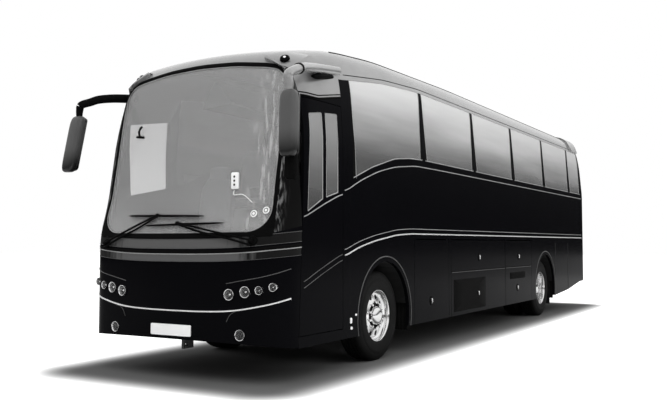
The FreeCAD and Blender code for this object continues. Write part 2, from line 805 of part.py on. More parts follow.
def tyre(inner_face, at):
    """Flat walls, bevelled shoulders and a flat tread."""
    width, radius, rim = size.tyre_width, size.wheel_radius, size.rim_radius
    profile = [(0, rim), (width, rim), (width, radius - 45), (width - 35, radius), (35, radius), (0, radius - 45)]
    return feature(ring(profile, inner_face, back(at), size.wheel_radius), "tyre")


def rim(barrel, disc, hub, bore, at):
    """A barrel under the beads, a disc with ten round hand holes, and a bored hub, along X."""
    y, z = back(at), size.wheel_radius
    outer, inner = size.rim_radius, size.rim_radius - size.rim_flange
    profile = [(0, inner), (barrel[1] - barrel[0], inner), (barrel[1] - barrel[0], outer), (0, outer)]
    pieces = [feature(ring(profile, barrel[0], y, z), "barrel"),
              bar((inner + outer) / 2, 12, disc, y, z, "X", WHEEL_SIDES),
              bar(size.hub_radius, hub[1] - hub[0], hub[0], y, z, "X", 20)]
    openings = [cylinder(bore, 600, hub[0] - 100, y, z, "X")]
    for index in range(10):
        angle = math.radians(36 * index)
        openings.append(bar(size.hand_hole_radius, 60, disc - 20, y + size.hand_hole_circle * math.cos(angle),
                            z + size.hand_hole_circle * math.sin(angle), "X", 8))
    return cut(fuse(pieces), openings)


def wheels():
    """Single wheels in front and twin ones behind, which share one rim."""
    inner_face = tyre_outer_face - size.tyre_width
    front, rear = size.front_axle_back, rear_axle_back
    twin_face = inner_face - size.twin_pitch
    outer_edge = tyre_outer_face - 10
    single = tyre(inner_face, front)
    twins = group([tyre(inner_face, rear), tyre(twin_face, rear)])
    front_rim = rim((inner_face + 10, outer_edge), inner_face + 205, (inner_face + 115, tyre_outer_face - 20),
                    size.spindle_radius + size.bearing_clearance, front)
    rear_rim = rim((twin_face + 10, outer_edge), inner_face + 60, (inner_face, inner_face + 190),
                   size.rear_spindle_radius + size.bearing_clearance, rear)
    for piece, names in ((single, "front_{}_tyre"), (front_rim, "front_{}_rim"), (twins, "rear_{}_tyres"),
                         (rear_rim, "rear_{}_rims")):
        keep(piece, names.format("left"))
        keep(mirrored(piece), names.format("right"))


# Entrance door

def entrance_door():
    region = on_left(door_frame)
    leaf = cut(panel(region), door_panes)
    pin_x, pin_y = half_width - size.post_inset, back(709)
    brackets = [box(pin_x - 15, half_width - size.wall + 1, pin_y - 25, pin_y + 25, z - 20, z + 20)
                for z in (900, door_top - 78)]
    bore = cylinder(12 + size.bearing_clearance, door_top, pin_x, pin_y, 300)
    keep(cut(fuse([leaf] + brackets), [bore]), "door_leaf")
    keep(group([panel(pane, glass_shell) for pane in door_panes]), "door_glass")


def rod(points, radius, sides=8):
    """A bar with flat sides along a bent line, mitred at each bend."""
    points = [Vector(*[float(c) for c in p]) for p in points]
    ways = [(after - first).normalize() for first, after in zip(points, points[1:])]
    beside = ways[0].cross(Vector(0, 0, 1) if abs(ways[0].z) < 0.9 else Vector(1, 0, 0)).normalize()
    over = ways[0].cross(beside)
    angles = [math.radians(360 / sides * (k + 0.5)) for k in range(sides)]
    rings = [[points[0] + (beside * math.cos(a) + over * math.sin(a)) * radius for a in angles]]
    for index, point in enumerate(points[1:]):
        way = ways[index]
        mitre = (way + ways[min(index + 1, len(ways) - 1)]).normalize()
        rings.append([corner + way * ((point - corner).dot(mitre) / way.dot(mitre)) for corner in rings[-1]])
    return flat_faced(rings)


def door_arms():
    """A post in the doorway's rear corner with two bent arms that end in pins on the leaf."""
    pivot_x, pivot_y, foot = half_width - size.post_inset, back(1170), 380.3
    post = cylinder(22, door_top + 2 - foot, pivot_x, pivot_y, foot)
    arms = []
    for z in (Length.of(850), door_top - 128):
        path = [(pivot_x, pivot_y, z), (pivot_x - 154, pivot_y - 112, z), (pivot_x, pivot_y - 461, z)]
        arms.append(feature(rod(path, 18, 6), "arm"))
        arms.append(bar(12, 100, pivot_x, pivot_y - 461, z - 20, sides=12))
    keep(fuse([post] + arms), "door_arms")


# Driver and passengers

def dashboard():
    """A shelf below the windscreen and a deeper binnacle in front of the driver."""
    floor, edge = size.platform_floor, half_width - 75
    shelf = outline([(back(60), floor + 250), (back(420), floor + 230), (back(420), floor + 390),
                     (back(60), floor + 350)], "side", -edge, edge * 2 - 70)
    binnacle = outline([(back(420), floor + 230), (back(640), floor), (back(700), floor + 10),
                        (back(640), floor + 280), (back(420), floor + 390)], "side", -edge, edge + 250)
    shaped = common(fuse([shelf, binnacle]), cabin_space)
    console = box(375 - half_width, 935 - half_width, back(620), back(700), floor, floor + 10)
    return keep(fuse([shaped, console]), "dashboard")


def steering_wheel(desk):
    centre = Vector(655 - half_width.value, float(back(790)), size.platform_floor.value + 510)
    tilt = Rotation(Vector(1, 0, 0), -25)

    def around(radius, level, sides):
        angles = [2 * math.pi * k / sides for k in range(sides)]
        return [Vector(radius * math.cos(a), radius * math.sin(a), level) for a in angles]

    section = ((203, -13), (228, -13), (228, 13), (203, 13))
    grip = flat_faced([around(*corner, 24) for corner in section], closed=True)
    hub = Part.makeCylinder(45, 40, Vector(0, 0, -30))
    spokes = [Part.makeBox(190, 30, 12, Vector(20, -15, -8)) for _ in range(3)]
    for index, spoke in enumerate(spokes):
        spoke.rotate(Vector(), Vector(0, 0, 1), 120 * index + 90)
    wheel_shape = grip.fuse([hub] + spokes)
    column = Part.makeCylinder(28, 390, Vector(0, 0, -420.3))
    keep(feature(wheel_shape, "wheel_form", Placement(centre, tilt)), "steering_wheel")
    keep(cut(feature(column, "column_form", Placement(centre, tilt)), [desk]), "steering_column")


def driver_seat():
    x, floor = 395 - half_width, size.platform_floor
    profile = [(1010, 390), (1030, 320), (1400, 320), (1440, 280), (1545, 310), (1560, 1200), (1480, 1200),
               (1430, 450), (1040, 450)]
    seat = outline([(back(a), floor + b) for a, b in profile], "side", x, 520)
    stand = box(x + 140, x + 380, back(1150), back(1400), floor, floor + 320)
    keep(fuse([seat, stand]), "driver_seat")


def passenger_seats():
    """Double seats in rows on both sides of the aisle, each with one leg frame."""
    floor = size.saloon_floor
    seats = []
    inside = half_width - size.wall - 15
    aisle = size.aisle_half_width
    rows = int(float(size.body_length - size.last_row_gap - size.first_row_back) / size.seat_pitch.value) + 1
    for row in range(rows):
        at = size.first_row_back + size.seat_pitch * row
        profile = [(0, 320), (30, 440), (430, 440), (560, 1130), (620, 1130), (640, 1080), (520, 320)]
        seat = outline([(back(at + a), floor + b) for a, b in profile], "side", aisle + 20, inside - aisle - 20)
        leg = box(aisle + 150, aisle + 200, back(at + 150), back(at + 430), floor, floor + 320)
        whole = fuse([seat, leg])
        seats += [whole, mirrored(whole)]
    keep(group(seats), "passenger_seats")


def parcel_racks():
    profile = [(515, 540), (85, 570), (85, 520), (175, 350), (275, 230), (315, 230), (535, 510)]
    section = [(half_width - inset, size.roof_height - drop) for inset, drop in profile]
    rack = common(outline(section, "front", back(1900), size.body_length - 2500), cabin_space)
    keep(group([rack, mirrored(rack)]), "parcel_racks")


# Lamps, wipers, mirrors

def lamps():
    keep(group(lamp_barrels() + fog_barrels()), "headlamps")
    keep(group(tail_lamp_barrels()), "tail_lamps")


def wipers():
    pieces = []
    left, right = half_width.value - 375, 275 - half_width.value
    for pivot, tip, height in ((right, 60, 1500), (left, -330, 1440)):
        arm_end = pivot + (tip - pivot) * 0.55
        path = [(pivot, back(125), 1375), (pivot, back(-14), 1375), (arm_end, back(-24), height)]
        arm = rod(path, 9, 6)
        blade = rod([(pivot + (tip - pivot) * 0.1, back(-16), height), (tip, back(-24), height)], 10, 6)
        pieces.append(cut(feature(arm.fuse(blade), "wiper"), [body_clearance]))
    keep(group(pieces), "wipers")


def mirror_head(top, foot, half, deep):
    """A case with bevelled corners between the middles of its top and foot."""
    def section(middle):
        bevel = 25
        points = [(-half + bevel, -deep), (half - bevel, -deep), (half, -deep + bevel), (half, deep - bevel),
                  (half - bevel, deep), (-half + bevel, deep), (-half, deep - bevel), (-half, -deep + bevel)]
        return [middle + Vector(x, y, 0) for x, y in points]
    return flat_faced([section(foot), section(top)])


def mirrors():
    """Heads that hang at the ends of arms from the roof's corners; the driver's is set further back."""
    half, roof, y = 92, size.roof_height.value, nose.value
    reach = half_width.value + size.mirror_reach.value - half
    pieces = []
    long_arm = ((-80, 1290, 460), (-20, 760, 530), (70, 350, 610), (150, 70, 720))
    short_arm = ((-105, 620, 640), (-25, 380, 660), (105, 160, 750))
    for side, setback, radius, bends in ((1, 60 - size.mirror_ahead.value, 50, long_arm), (-1, -20, 45, short_arm)):
        top = Vector(side * (reach - 50), y + setback + 95, roof - 890)
        foot = Vector(side * reach, y + setback, roof - 1520)
        path = [(side * (half_width.value + out), y + at, roof - drop) for out, at, drop in bends]
        arm = rod(path + [(top.x, top.y, top.z - 5)], radius)
        pieces.append(cut(feature(mirror_head(top, foot, half, 60).fuse(arm), "mirror"), [body_clearance]))
    keep(group(pieces), "mirrors")


for build in (roof_panel, windscreen, front_panel, bumpers, side_walls, side_glass, skirts, locker_flaps, rear_panel,
              roof_hatches, brightwork, floors, entry_steps, bay_floor, wheel_housings, chassis_rails, engine_unit,
              front_axle, rear_axle, knuckles, wheels, entrance_door, door_arms, driver_seat, passenger_seats,
              parcel_racks, lamps, wipers, mirrors):
    build()
steering_wheel(dashboard())
doc.recompute()

for piece in doc.Objects:
    if "Invalid" in piece.State or "Error" in piece.State:
        raise RuntimeError(f"{piece.Label} ({piece.Name}) did not build: {piece.State}")
os.makedirs("parts", exist_ok=True)
for piece in nodes:
    if piece.Shape.isNull() or not piece.Shape.isValid() or not piece.Shape.Solids:
        raise RuntimeError(f"{piece.Label} has no valid shape")
    piece.Shape.exportStep(f"parts/{piece.Label}.step")
    print(piece.Label, len(piece.Shape.Solids), round(piece.Shape.Volume / 1e6, 2))
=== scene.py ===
import json

import bmesh
import bpy
import numpy as np
from bpy.props import FloatProperty, FloatVectorProperty, IntProperty, PointerProperty
from mathutils import Euler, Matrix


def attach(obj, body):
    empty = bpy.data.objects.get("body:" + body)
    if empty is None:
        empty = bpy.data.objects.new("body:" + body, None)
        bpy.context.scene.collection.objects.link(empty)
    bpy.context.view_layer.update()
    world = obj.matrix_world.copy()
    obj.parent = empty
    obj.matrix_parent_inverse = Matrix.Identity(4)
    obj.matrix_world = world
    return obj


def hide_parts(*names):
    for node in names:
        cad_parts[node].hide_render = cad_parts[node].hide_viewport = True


bl_info = {
    "name": "Touring coach",
    "version": (1, 0, 0),
    "blender": (4, 5, 0),
    "location": "3D View > Sidebar > Coach",
    "description": "Dresses the packed frame of a touring coach with its skins, glass, trim and finishes",
    "category": "Object",
}

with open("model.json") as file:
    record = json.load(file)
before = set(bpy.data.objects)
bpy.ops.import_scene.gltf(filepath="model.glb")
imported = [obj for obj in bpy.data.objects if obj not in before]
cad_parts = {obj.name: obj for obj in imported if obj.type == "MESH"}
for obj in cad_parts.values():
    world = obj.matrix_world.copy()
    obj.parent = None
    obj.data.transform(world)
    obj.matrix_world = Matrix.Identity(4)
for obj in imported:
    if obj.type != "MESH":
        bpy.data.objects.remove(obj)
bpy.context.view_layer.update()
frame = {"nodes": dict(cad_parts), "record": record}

# Positions are in metres in the row frame. "Back" is a distance behind the nose.
NOSE = -5.9
LENGTH = 12.0
HALF_WIDTH = 1.275
SIDE_LEAN = 0.0643
NOSE_BOW = 5.5
AXLES = (2.228, 8.871)
AXLE_HEIGHT = 0.515
OUTER_TYRE, INNER_TYRE = 0.89, 0.55
SIDES = {"left": 1, "right": -1}

# Heights of the seams and edges that several pieces share
BUMPER_TOP = 0.695
REAR_BUMPER_TOP = 0.737
BELT_SEAM = 1.46
SILL = 2.408
LINTEL = 2.806
SEAM_TOP = 3.213
CANT = 3.32

# Distances back: the seam beside the nose, the roof's two rounded ends, and the tail panel's edge
SEAM_BACK = 0.5
FRONT_CAP, REAR_CAP = 1.6, 11.0
TAIL_EDGE = 11.72

# The entrance door, whose front edge leans back by DOOR_LEAN over its height
DOOR_FRONT, DOOR_BACK, DOOR_LEAN = 0.38, 1.228, 0.12
DOOR_FOOT, DOOR_TOP = 0.462, 2.798
SEAM = 0.008

# Windows: each side pane's start and end, and the driver's as two rows of (back, z) corners
PANES = [(1.45, 3.283)] + [(3.363 + 1.845 * i, 5.128 + 1.845 * i) for i in range(4)] + [(10.743, 11.64)]
FIRST_PANE, LAST_PANE = PANES[0], PANES[-1]
POST = 0.08
DRIVER_PANE = np.array([[(0.67, 1.90), (1.30, 2.02)], [(0.62, 2.72), (1.29, 2.83)]])

# Thickness of skins and panes, how far a pane lies inside the skin, and a seal's width and height
SHELL = 0.045
GLASS = 0.008
GLASS_INSET = 0.004
SEAL = (0.012, 0.005)

# Half widths of the rows that lie straight ahead or behind, before they turn round a corner. The last
# two are those of the windscreen's foot and head.
NOSE_WIDTH, TAIL_WIDTH = 1.09, 1.05
FOOT_WIDTH, HEAD_WIDTH = 1.10, 1.06

# Columns of a row that turn round a corner, columns of the wall between the door and the first pane,
# and the nose's band that holds the windscreen
CORNER_COLUMNS = 8
BESIDE_DOOR = 3
SCREEN_BAND = 7

SALOON_FLOOR = 1.5
SEAT_ROWS, FIRST_ROW, SEAT_PITCH = 11, 2.15, 0.8


class CoachSizes(bpy.types.PropertyGroup):
    """Sizes of the dressing that a user would change."""

    belt_height: FloatProperty(name="Belt moulding", description="Height of the bright belt moulding",
                               default=1.468, unit="LENGTH")
    belt_width: FloatProperty(name="Belt width", description="Height of the bright moulding's own section",
                              default=0.019, unit="LENGTH")
    tyre_grooves: IntProperty(name="Tread grooves", description="Grooves round each tyre",
                              default=4, min=2, max=6)
    hand_holes: IntProperty(name="Hand holes", description="Round holes in each rim",
                            default=10, min=6, max=12)
    seat_crown: FloatProperty(name="Seat crown", description="How far a cushion swells in its middle",
                              default=0.02, unit="LENGTH")


class CoachColours(bpy.types.PropertyGroup):
    """Colours of the coach's finishes."""

    paint: FloatVectorProperty(name="Paint", description="Body paint", subtype="COLOR", size=3,
                               default=(0.002, 0.002, 0.0025), min=0, max=1)
    cloth: FloatVectorProperty(name="Cloth", description="Seat cloth", subtype="COLOR", size=3,
                               default=(0.10, 0.10, 0.11), min=0, max=1)
    rim: FloatVectorProperty(name="Rims", description="Polished rims", subtype="COLOR", size=3,
                             default=(0.86, 0.86, 0.86), min=0, max=1)
    floor: FloatVectorProperty(name="Ground", description="Studio floor", subtype="COLOR", size=3,
                               default=(0.8, 0.8, 0.8), min=0, max=1)


# The body's skin

def eased(value, at, numbers, width):
    """A polyline through (at, numbers) with its corners rounded by a moving mean of this half width."""
    spread = np.linspace(-width, width, 9)
    return np.interp(np.asarray(value, float)[..., None] + spread, at, numbers).mean(-1)


def smooth_most(first, second, soft):
    """The larger of two numbers, with a parabola of this width where they meet."""
    near = np.clip(1 - np.abs(first - second) / soft, 0, None)
    return np.maximum(first, second) + near ** 2 * soft / 4


def plan_gap(x, back, z):
    """How far a point lies outside the plan outline at its height: a bowed nose of radius 5.5 m,
    rounded corners, straight sides that lean in above the sill, and a rounded tail."""
    setback = eased(z, [0.25, 1.22, 1.45, 1.8, SILL, 2.899, 3.29, 3.75],
                    [0, 0, 0.012, 0.125, 0.236, 0.323, 0.42, 0.559], 0.1)
    corner = np.interp(z, [1.22, 1.45, 1.8, SILL, 2.899], [0.28, 0.27, 0.24, 0.21, 0.2])
    tail = eased(z, [SILL, 2.899, 3.29, 3.75], [0, 0.05, 0.11, 0.22], 0.1)
    side = HALF_WIDTH - np.clip(z - SILL, 0, None) * SIDE_LEAN
    across = side - corner
    along = setback + NOSE_BOW - np.sqrt((NOSE_BOW - corner) ** 2 - across ** 2)
    turn = np.arctan2(x - across, along - back)
    meet = np.arctan2(across, setback + NOSE_BOW - along)
    bow = np.hypot(x, setback + NOSE_BOW - back) - NOSE_BOW
    round_the_corner = np.hypot(x - across, along - back) - corner
    nose = np.where(back > along, x - side, np.where(turn > meet, round_the_corner, bow))
    bend = 0.18
    beside, behind = x - side + bend, back - LENGTH + tail + bend
    both = (beside > 0) & (behind > 0)
    rear = np.where(both, np.hypot(beside, behind), np.maximum(beside, behind)) - bend
    return np.where(back < LENGTH / 2, nose, rear)


def crown_height(back):
    """The height of the roof's middle line, which sinks towards the nose."""
    sunk = eased(back, [-0.3, 0.45, 0.8, 1.3, 2.3, 4.6, 12.3], [0.56, 0.34, 0.23, 0.125, 0.043, 0, 0], 0.25)
    return 3.65 - sunk


def roof_gap(x, back, z):
    """How far a point lies outside the roof section: a wide crown out to 0.95 m, round shoulders and
    straight falls at 65 degrees, all sinking towards the nose."""
    radius, bend, reach, steep = 7.52, 0.3, 0.95, np.radians(65)
    crown = crown_height(back)
    start = np.arcsin(reach / radius)
    across = reach - bend * np.sin(start)
    up = crown - radius + (radius - bend) * np.cos(start)
    turn = np.arctan2(x - across, z - up)
    shoulder = np.hypot(x - across, z - up) - bend
    fall = (x - across) * np.sin(steep) + (z - up) * np.cos(steep) - bend
    over = np.hypot(x, z - crown + radius) - radius
    return np.where((turn < start) | (x < across * 0.9), over, np.where(turn < steep, shoulder, fall))


def skin_gap(points):
    """How far points lie outside the whole skin, whose roof runs softly into its walls."""
    x, back, z = np.abs(points[..., 0]), points[..., 1] - NOSE, points[..., 2]
    soft = np.interp(back, [0, 1.2, 3, REAR_CAP, LENGTH], [0.3, 0.12, 0.05, 0.05, 0.2])
    return smooth_most(plan_gap(x, back, z), roof_gap(x, back, z), soft)


def settle(guide, centre, inset=0.0):
    """Points of the skin, or this far inside it, on the rays from a centre through the guide points,
    found by halving. A centre coordinate left axial is the guide's own."""
    farthest, halvings = 3.2, 34
    centre = np.asarray(centre, float)
    origin = np.where(np.isnan(centre), guide, centre)
    way = guide - origin
    way = way / np.linalg.norm(way, axis=-1, keepdims=True)
    low = np.zeros(guide.shape[:-1])
    high = low + farthest
    for _ in range(halvings):
        middle = (low + high) / 2
        outside = skin_gap(origin + way * middle[..., None]) > -inset
        high = np.where(outside, middle, high)
        low = np.where(outside, low, middle)
    return origin + way * low[..., None]


AXIAL = np.nan
ROOF_CENTRE = 2.6
FROM_SIDE = (0, AXIAL, AXIAL)
FROM_NOSE = (0, NOSE + FRONT_CAP, AXIAL)
FROM_AHEAD = (AXIAL, NOSE + 3, AXIAL)
FROM_TAIL = (0, NOSE + REAR_CAP, AXIAL)
FROM_BEHIND = (AXIAL, NOSE + 10, AXIAL)
FROM_ROOF = (0, AXIAL, ROOF_CENTRE)
DOME = (0, NOSE + FRONT_CAP, 2.3)
TAIL_DOME = (0, NOSE + REAR_CAP, 2.3)


def from_ends(place):
    """The level way from the middle of the nose's curve, or of the tail's, to a place."""
    return place.x, place.y - NOSE - (FRONT_CAP if place.y < 0 else REAR_CAP), 0


def points_of(x, back, z):
    """An array of points from arrays of their coordinates."""
    return np.stack(np.broadcast_arrays(np.asarray(x, float), np.asarray(back, float) + NOSE,
                                        np.asarray(z, float)), -1)


def side_points(back, z, side=1, inset=0.0):
    return settle(points_of(side, back, z), FROM_SIDE, inset)


def skin_normals(points):
    """Unit outward directions, from small steps of the skin's gap along each axis."""
    steps = np.eye(3) * 1e-4
    slope = np.stack([skin_gap(points + step) - skin_gap(points - step) for step in steps], -1)
    return slope / np.linalg.norm(slope, axis=-1, keepdims=True)


# Meshes

class Form:
    """Grids of points that are gathered into one mesh."""

    def __init__(self):
        self.points = []
        self.faces = []
        self.kinds = []
        self.count = 0

    def grid(self, points, around=False, kind=0):
        """Quads over a (rows, columns, 3) array; around joins the last column to the first."""
        rows, columns = points.shape[:2]
        index = np.arange(rows * columns).reshape(rows, columns) + self.count
        if around:
            index = np.concatenate([index, index[:, :1]], 1)
        quads = np.stack([index[:-1, :-1], index[1:, :-1], index[1:, 1:], index[:-1, 1:]], -1).reshape(-1, 4)
        self.points.append(points.reshape(-1, 3))
        self.faces.append(quads)
        self.kinds.append(np.full(len(quads), kind))
        self.count += rows * columns
        return self

    def solid(self, points, kind=0):
        """A closed tube over rows of closed sections, its two ends drawn in to their middles."""
        ends = [np.repeat(points[i].mean(0, keepdims=True), points.shape[1], 0)[None] for i in (0, -1)]
        return self.grid(np.concatenate([ends[0], points, ends[1]]), around=True, kind=kind)

    def block(self, low, high):
        """A plain box between two corners."""
        low, high = np.asarray(low, float), np.asarray(high, float)
        square = np.array([[0, 0], [1, 0], [1, 1], [0, 1]], float)
        rings = np.stack([np.column_stack([square, np.full(4, level)]) for level in (0.0, 1.0)])
        return self.solid(low + rings * (high - low))

    def mirrored(self):
        """The same grids on the coach's other side as well."""
        self.faces += [faces[:, ::-1] + self.count for faces in self.faces]
        self.points += [points * [-1, 1, 1] for points in self.points]
        self.kinds *= 2
        self.count *= 2
        return self

    def finish(self, name, finishes, slot, body="coach", facing=None, replaces=(), sharp=32, thick=0.0):
        """One object from all grids: doubles merged, faces turned outwards, sharp edges marked. An open
        form's facing is the way it looks, as a direction or as a function of the place."""
        mesh = bpy.data.meshes.new(name)
        mesh.from_pydata(np.concatenate(self.points).tolist(), [], np.concatenate(self.faces).tolist())
        for word in [finishes] if isinstance(finishes, str) else finishes:
            mesh.materials.append(finish_of(word))
        mesh.polygons.foreach_set("material_index", np.concatenate(self.kinds).astype(np.int32))
        work = bmesh.new()
        work.from_mesh(mesh)
        bmesh.ops.remove_doubles(work, verts=work.verts, dist=2e-5)
        bmesh.ops.dissolve_degenerate(work, dist=1e-6, edges=work.edges)
        if facing is None:
            bmesh.ops.recalc_face_normals(work, faces=work.faces)
        else:
            look = facing if callable(facing) else lambda place: facing
            ways = [look(face.calc_center_median()) for face in work.faces]
            turn = sum(face.normal.dot(way) * face.calc_area() for face, way in zip(work.faces, ways))
            if turn < 0:
                bmesh.ops.reverse_faces(work, faces=work.faces)
        limit = np.radians(sharp)
        for edge in work.edges:
            edge.smooth = not edge.is_boundary and edge.calc_face_angle(0) < limit
        for face in work.faces:
            face.smooth = True
        work.to_mesh(mesh)
        work.free()
        piece = bpy.data.objects.new(name, mesh)
        bpy.context.scene.collection.objects.link(piece)
        if thick:
            wall = piece.modifiers.new("Wall", "SOLIDIFY")
            wall.thickness = thick
            wall.offset = -1
        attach(piece, body)
        if replaces:
            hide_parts(*replaces)
        return piece


def panelling(form, rows, steps, centre, inset=0.0, holes=(), kind=0):
    """Bands of skin between rows of guide points, each row with the same number of columns.
    A hole is (band, first column, last column), and kind may be one per band."""
    for band, (low, high) in enumerate(zip(rows, rows[1:])):
        shut = sorted(span for level, *span in holes if level == band)
        edges = [0] + [column for span in shut for column in span] + [len(low) - 1]
        count = steps[band] if isinstance(steps, (list, tuple)) else steps
        blend = np.linspace(0, 1, count + 1)[:, None, None]
        for first, last in zip(edges[::2], edges[1::2]):
            if last > first:
                guide = low[None, first:last + 1] * (1 - blend) + high[None, first:last + 1] * blend
                here = kind[band] if isinstance(kind, tuple) else kind
                form.grid(settle(guide, centre, inset), kind=here)
    return form


def swept(path, across, outward, profile):
    """A profile of (across, outward) pairs carried along a path with its own two directions."""
    beside, out = np.asarray(profile, float).T[..., None]
    return path[:, None] + across[:, None] * beside + outward[:, None] * out


def tangents(path):
    way = np.gradient(path, axis=0)
    return way / np.linalg.norm(way, axis=-1, keepdims=True)


def strip(form, path, width, proud):
    """A half-round moulding along a path on the skin: an ellipse's upper half over a sunk base."""
    sunk = 0.002
    outward = skin_normals(path)
    across = np.cross(outward, tangents(path))
    angle = np.linspace(0, np.pi, 9)
    profile = np.column_stack([np.cos(angle) * width / 2, np.sin(angle) * proud])
    profile = np.concatenate([profile, [[-width / 2, -sunk], [width / 2, -sunk]]])
    form.solid(swept(path, across, outward, profile))


def round_bar(form, path, radius, sides=12, kind=0, flat=1.0):
    """A bar of circles (or ellipses, flat times as deep) carried along a path."""
    path = np.asarray(path, float)
    way = tangents(path)
    helper = np.where(np.abs(way[:, 2:]) < 0.9, [[0, 0, 1.0]], [[1.0, 0, 0]])
    across = np.cross(way, helper)
    across /= np.linalg.norm(across, axis=-1, keepdims=True)
    other = np.cross(way, across)
    radius = np.broadcast_to(np.asarray(radius, float), len(path))[:, None, None]
    angle = np.arange(sides) * 2 * np.pi / sides
    ring = swept(np.zeros_like(path), across, other, np.column_stack([np.cos(angle), np.sin(angle) * flat]))
    form.solid(path[:, None] + ring * radius, kind)


def curve(points, count):
    """A smooth path through points: Catmull-Rom cubics, sampled evenly in their own parameter."""
    points = np.asarray(points, float)
    padded = np.concatenate([2 * points[:1] - points[1:2], points, 2 * points[-1:] - points[-2:-1]])
    place = np.linspace(0, len(points) - 1 - 1e-9, count)
    at = place.astype(int)
    t = (place - at)[:, None]
    a, b, c, d = (padded[at + i] for i in range(4))
    square, cube = 2 * a - 5 * b + 4 * c - d, 3 * b - a - 3 * c + d
    return 0.5 * (2 * b + (c - a) * t + square * t ** 2 + cube * t ** 3)


def turned(form, profile, centre, axis=(1, 0, 0), kind=0, sides=64, closed=False):
    """A profile of (along, radius) pairs turned about an axis through a centre."""
    profile, axis = np.asarray(profile, float), np.asarray(axis, float) / np.linalg.norm(axis)
    across = np.cross([0, 0, 1.0] if abs(axis[2]) < 0.9 else [0, 1.0, 0], axis)
    across /= np.linalg.norm(across)
    angle = (np.arange(sides) * 2 * np.pi / sides)[:, None]
    spoke = across * np.cos(angle) + np.cross(axis, across) * np.sin(angle)
    points = profile[:, 0, None, None] * axis + profile[:, 1, None, None] * spoke + np.asarray(centre, float)
    if closed:
        points = np.concatenate([points, points[:1]])
    form.grid(points, around=True, kind=kind)


# Finishes

class Wire:
    """A socket of a node tree that takes part in Python expressions."""

    def __init__(self, tree, socket):
        self.tree = tree
        self.socket = socket

    def math(self, operation, *values):
        return self.tree.node("ShaderNodeMath", {"operation": operation}, *values)

    def __add__(self, other):
        return self.math("ADD", self, other)

    def __sub__(self, other):
        return self.math("SUBTRACT", self, other)

    def __rsub__(self, other):
        return self.math("SUBTRACT", other, self)

    def __mul__(self, other):
        return self.math("MULTIPLY", self, other)

    def __abs__(self):
        return self.math("ABSOLUTE", self)

    __radd__ = __add__
    __rmul__ = __mul__

    def most(self, other):
        return self.math("MAXIMUM", self, other)

    def over(self, low, high):
        """0 below low, 1 above high, and a smooth rise between them."""
        smooth = {"interpolation_type": "SMOOTHSTEP"}
        return self.tree.node("ShaderNodeMapRange", smooth, self, low, high, 0.0, 1.0)


class Tree:
    """A node tree, with one method that makes every node."""

    def __init__(self, tree):
        self.nodes = tree.nodes
        self.links = tree.links

    def plug(self, socket, value):
        """Links a wire to a socket, or puts a plain value on it."""
        if isinstance(value, Wire):
            self.links.new(value.socket, socket)
        elif value is not None:
            socket.default_value = (*value, 1.0) if socket.type == "RGBA" else value

    def node(self, kind, settings, *values, out=0, **named):
        """Any node: its settings first, then its inputs in order and by name, as plain values or wires."""
        node = self.nodes.new(kind)
        for key, value in settings.items():
            setattr(node, key, value)
        for socket, value in zip(node.inputs, values):
            self.plug(socket, value)
        for key, value in named.items():
            self.plug(node.inputs[key], value)
        return Wire(self, node.outputs[out]) if len(node.outputs) else None

    def place(self):
        return self.node("ShaderNodeTexCoord", {}, out="Object")

    def axis(self, letter):
        """One of the object coordinates X, Y and Z."""
        return self.node("ShaderNodeSeparateXYZ", {}, self.place(), out=letter)

    def noise(self, scale, detail=2.0, where=None):
        return self.node("ShaderNodeTexNoise", {}, where or self.place(), Scale=scale, Detail=detail)

    def stretched(self, x, y, z):
        """The object coordinates, each times its own number."""
        return self.node("ShaderNodeMapping", {}, self.place(), Scale=(x, y, z))

    def mix(self, factor, first, second):
        """One colour over another by a factor."""
        return self.node("ShaderNodeMix", {"data_type": "RGBA"}, factor, *[None] * 5, first, second, out=2)


class Finish(Tree):
    """A material on a Principled shader, whose patterns are written as expressions."""

    def __init__(self, name, **constants):
        self.material = bpy.data.materials.new(name)
        self.material.use_nodes = True
        super().__init__(self.material.node_tree)
        self.shader = self.nodes["Principled BSDF"]
        for socket, value in constants.items():
            self.set(socket.replace("_", " "), value)

    def set(self, socket, value):
        """Puts a constant or a wire on a named socket of the shader."""
        self.plug(self.shader.inputs[socket], value)

    def bump(self, height, strength, distance):
        bump = self.node("ShaderNodeBump", {}, Strength=strength, Distance=distance, Height=height)
        self.set("Normal", bump)


def grey(level):
    return (level, level, level)


def gloss_paint():
    """Black paint, with a very slight mottle in its polish."""
    finish = Finish("black paint", IOR=1.06)
    colour = tuple(bpy.context.scene.coach_colours.paint)
    finish.set("Base Color", finish.mix(finish.noise(1.4) * 0.5, colour, tuple(c * 1.6 for c in colour)))
    finish.set("Roughness", finish.noise(2.2, 3.0) * 0.06 + 0.1)
    return finish.material


def crown_painted_sky():
    """The same black paint under clear coat on the roof, whose grey base colour is a painted reflection of
    the sky, mottled by a film of dust.
    """
    finish = Finish("crown paint with painted sky", Specular_IOR_Level=0.7, Coat_Weight=0.8, Coat_Roughness=0.12)
    dust = finish.noise(2.6, 4.0)
    # Painted reflection: both greys stand for the sky mirrored in the black paint; the dust noise only
    # mottles them.
    finish.set("Base Color", finish.mix(dust, grey(0.13), grey(0.20)))
    finish.set("Roughness", dust * 0.1 + 0.2)
    return finish.material


def nose_band():
    """The wiper panel's dark grey, partly its own satin paint and partly painted reflection, which fades to
    black round the nose's corners in broken upright stripes.
    """
    finish = Finish("nose band", IOR=1.15)
    reflection_streaks = finish.noise(6.0, 3.0, where=finish.stretched(4.0, 4.0, 0.4))
    # Painted reflection: the grey fades to black towards the corners, broken by stretched noise.
    middle = 1.0 - (abs(finish.axis("X")) + (reflection_streaks - 0.5) * 0.5).over(0.7, 1.0)
    finish.set("Base Color", finish.mix(middle, grey(0.006), grey(0.075)))
    finish.set("Roughness", finish.noise(30.0) * 0.1 + 0.35)
    return finish.material


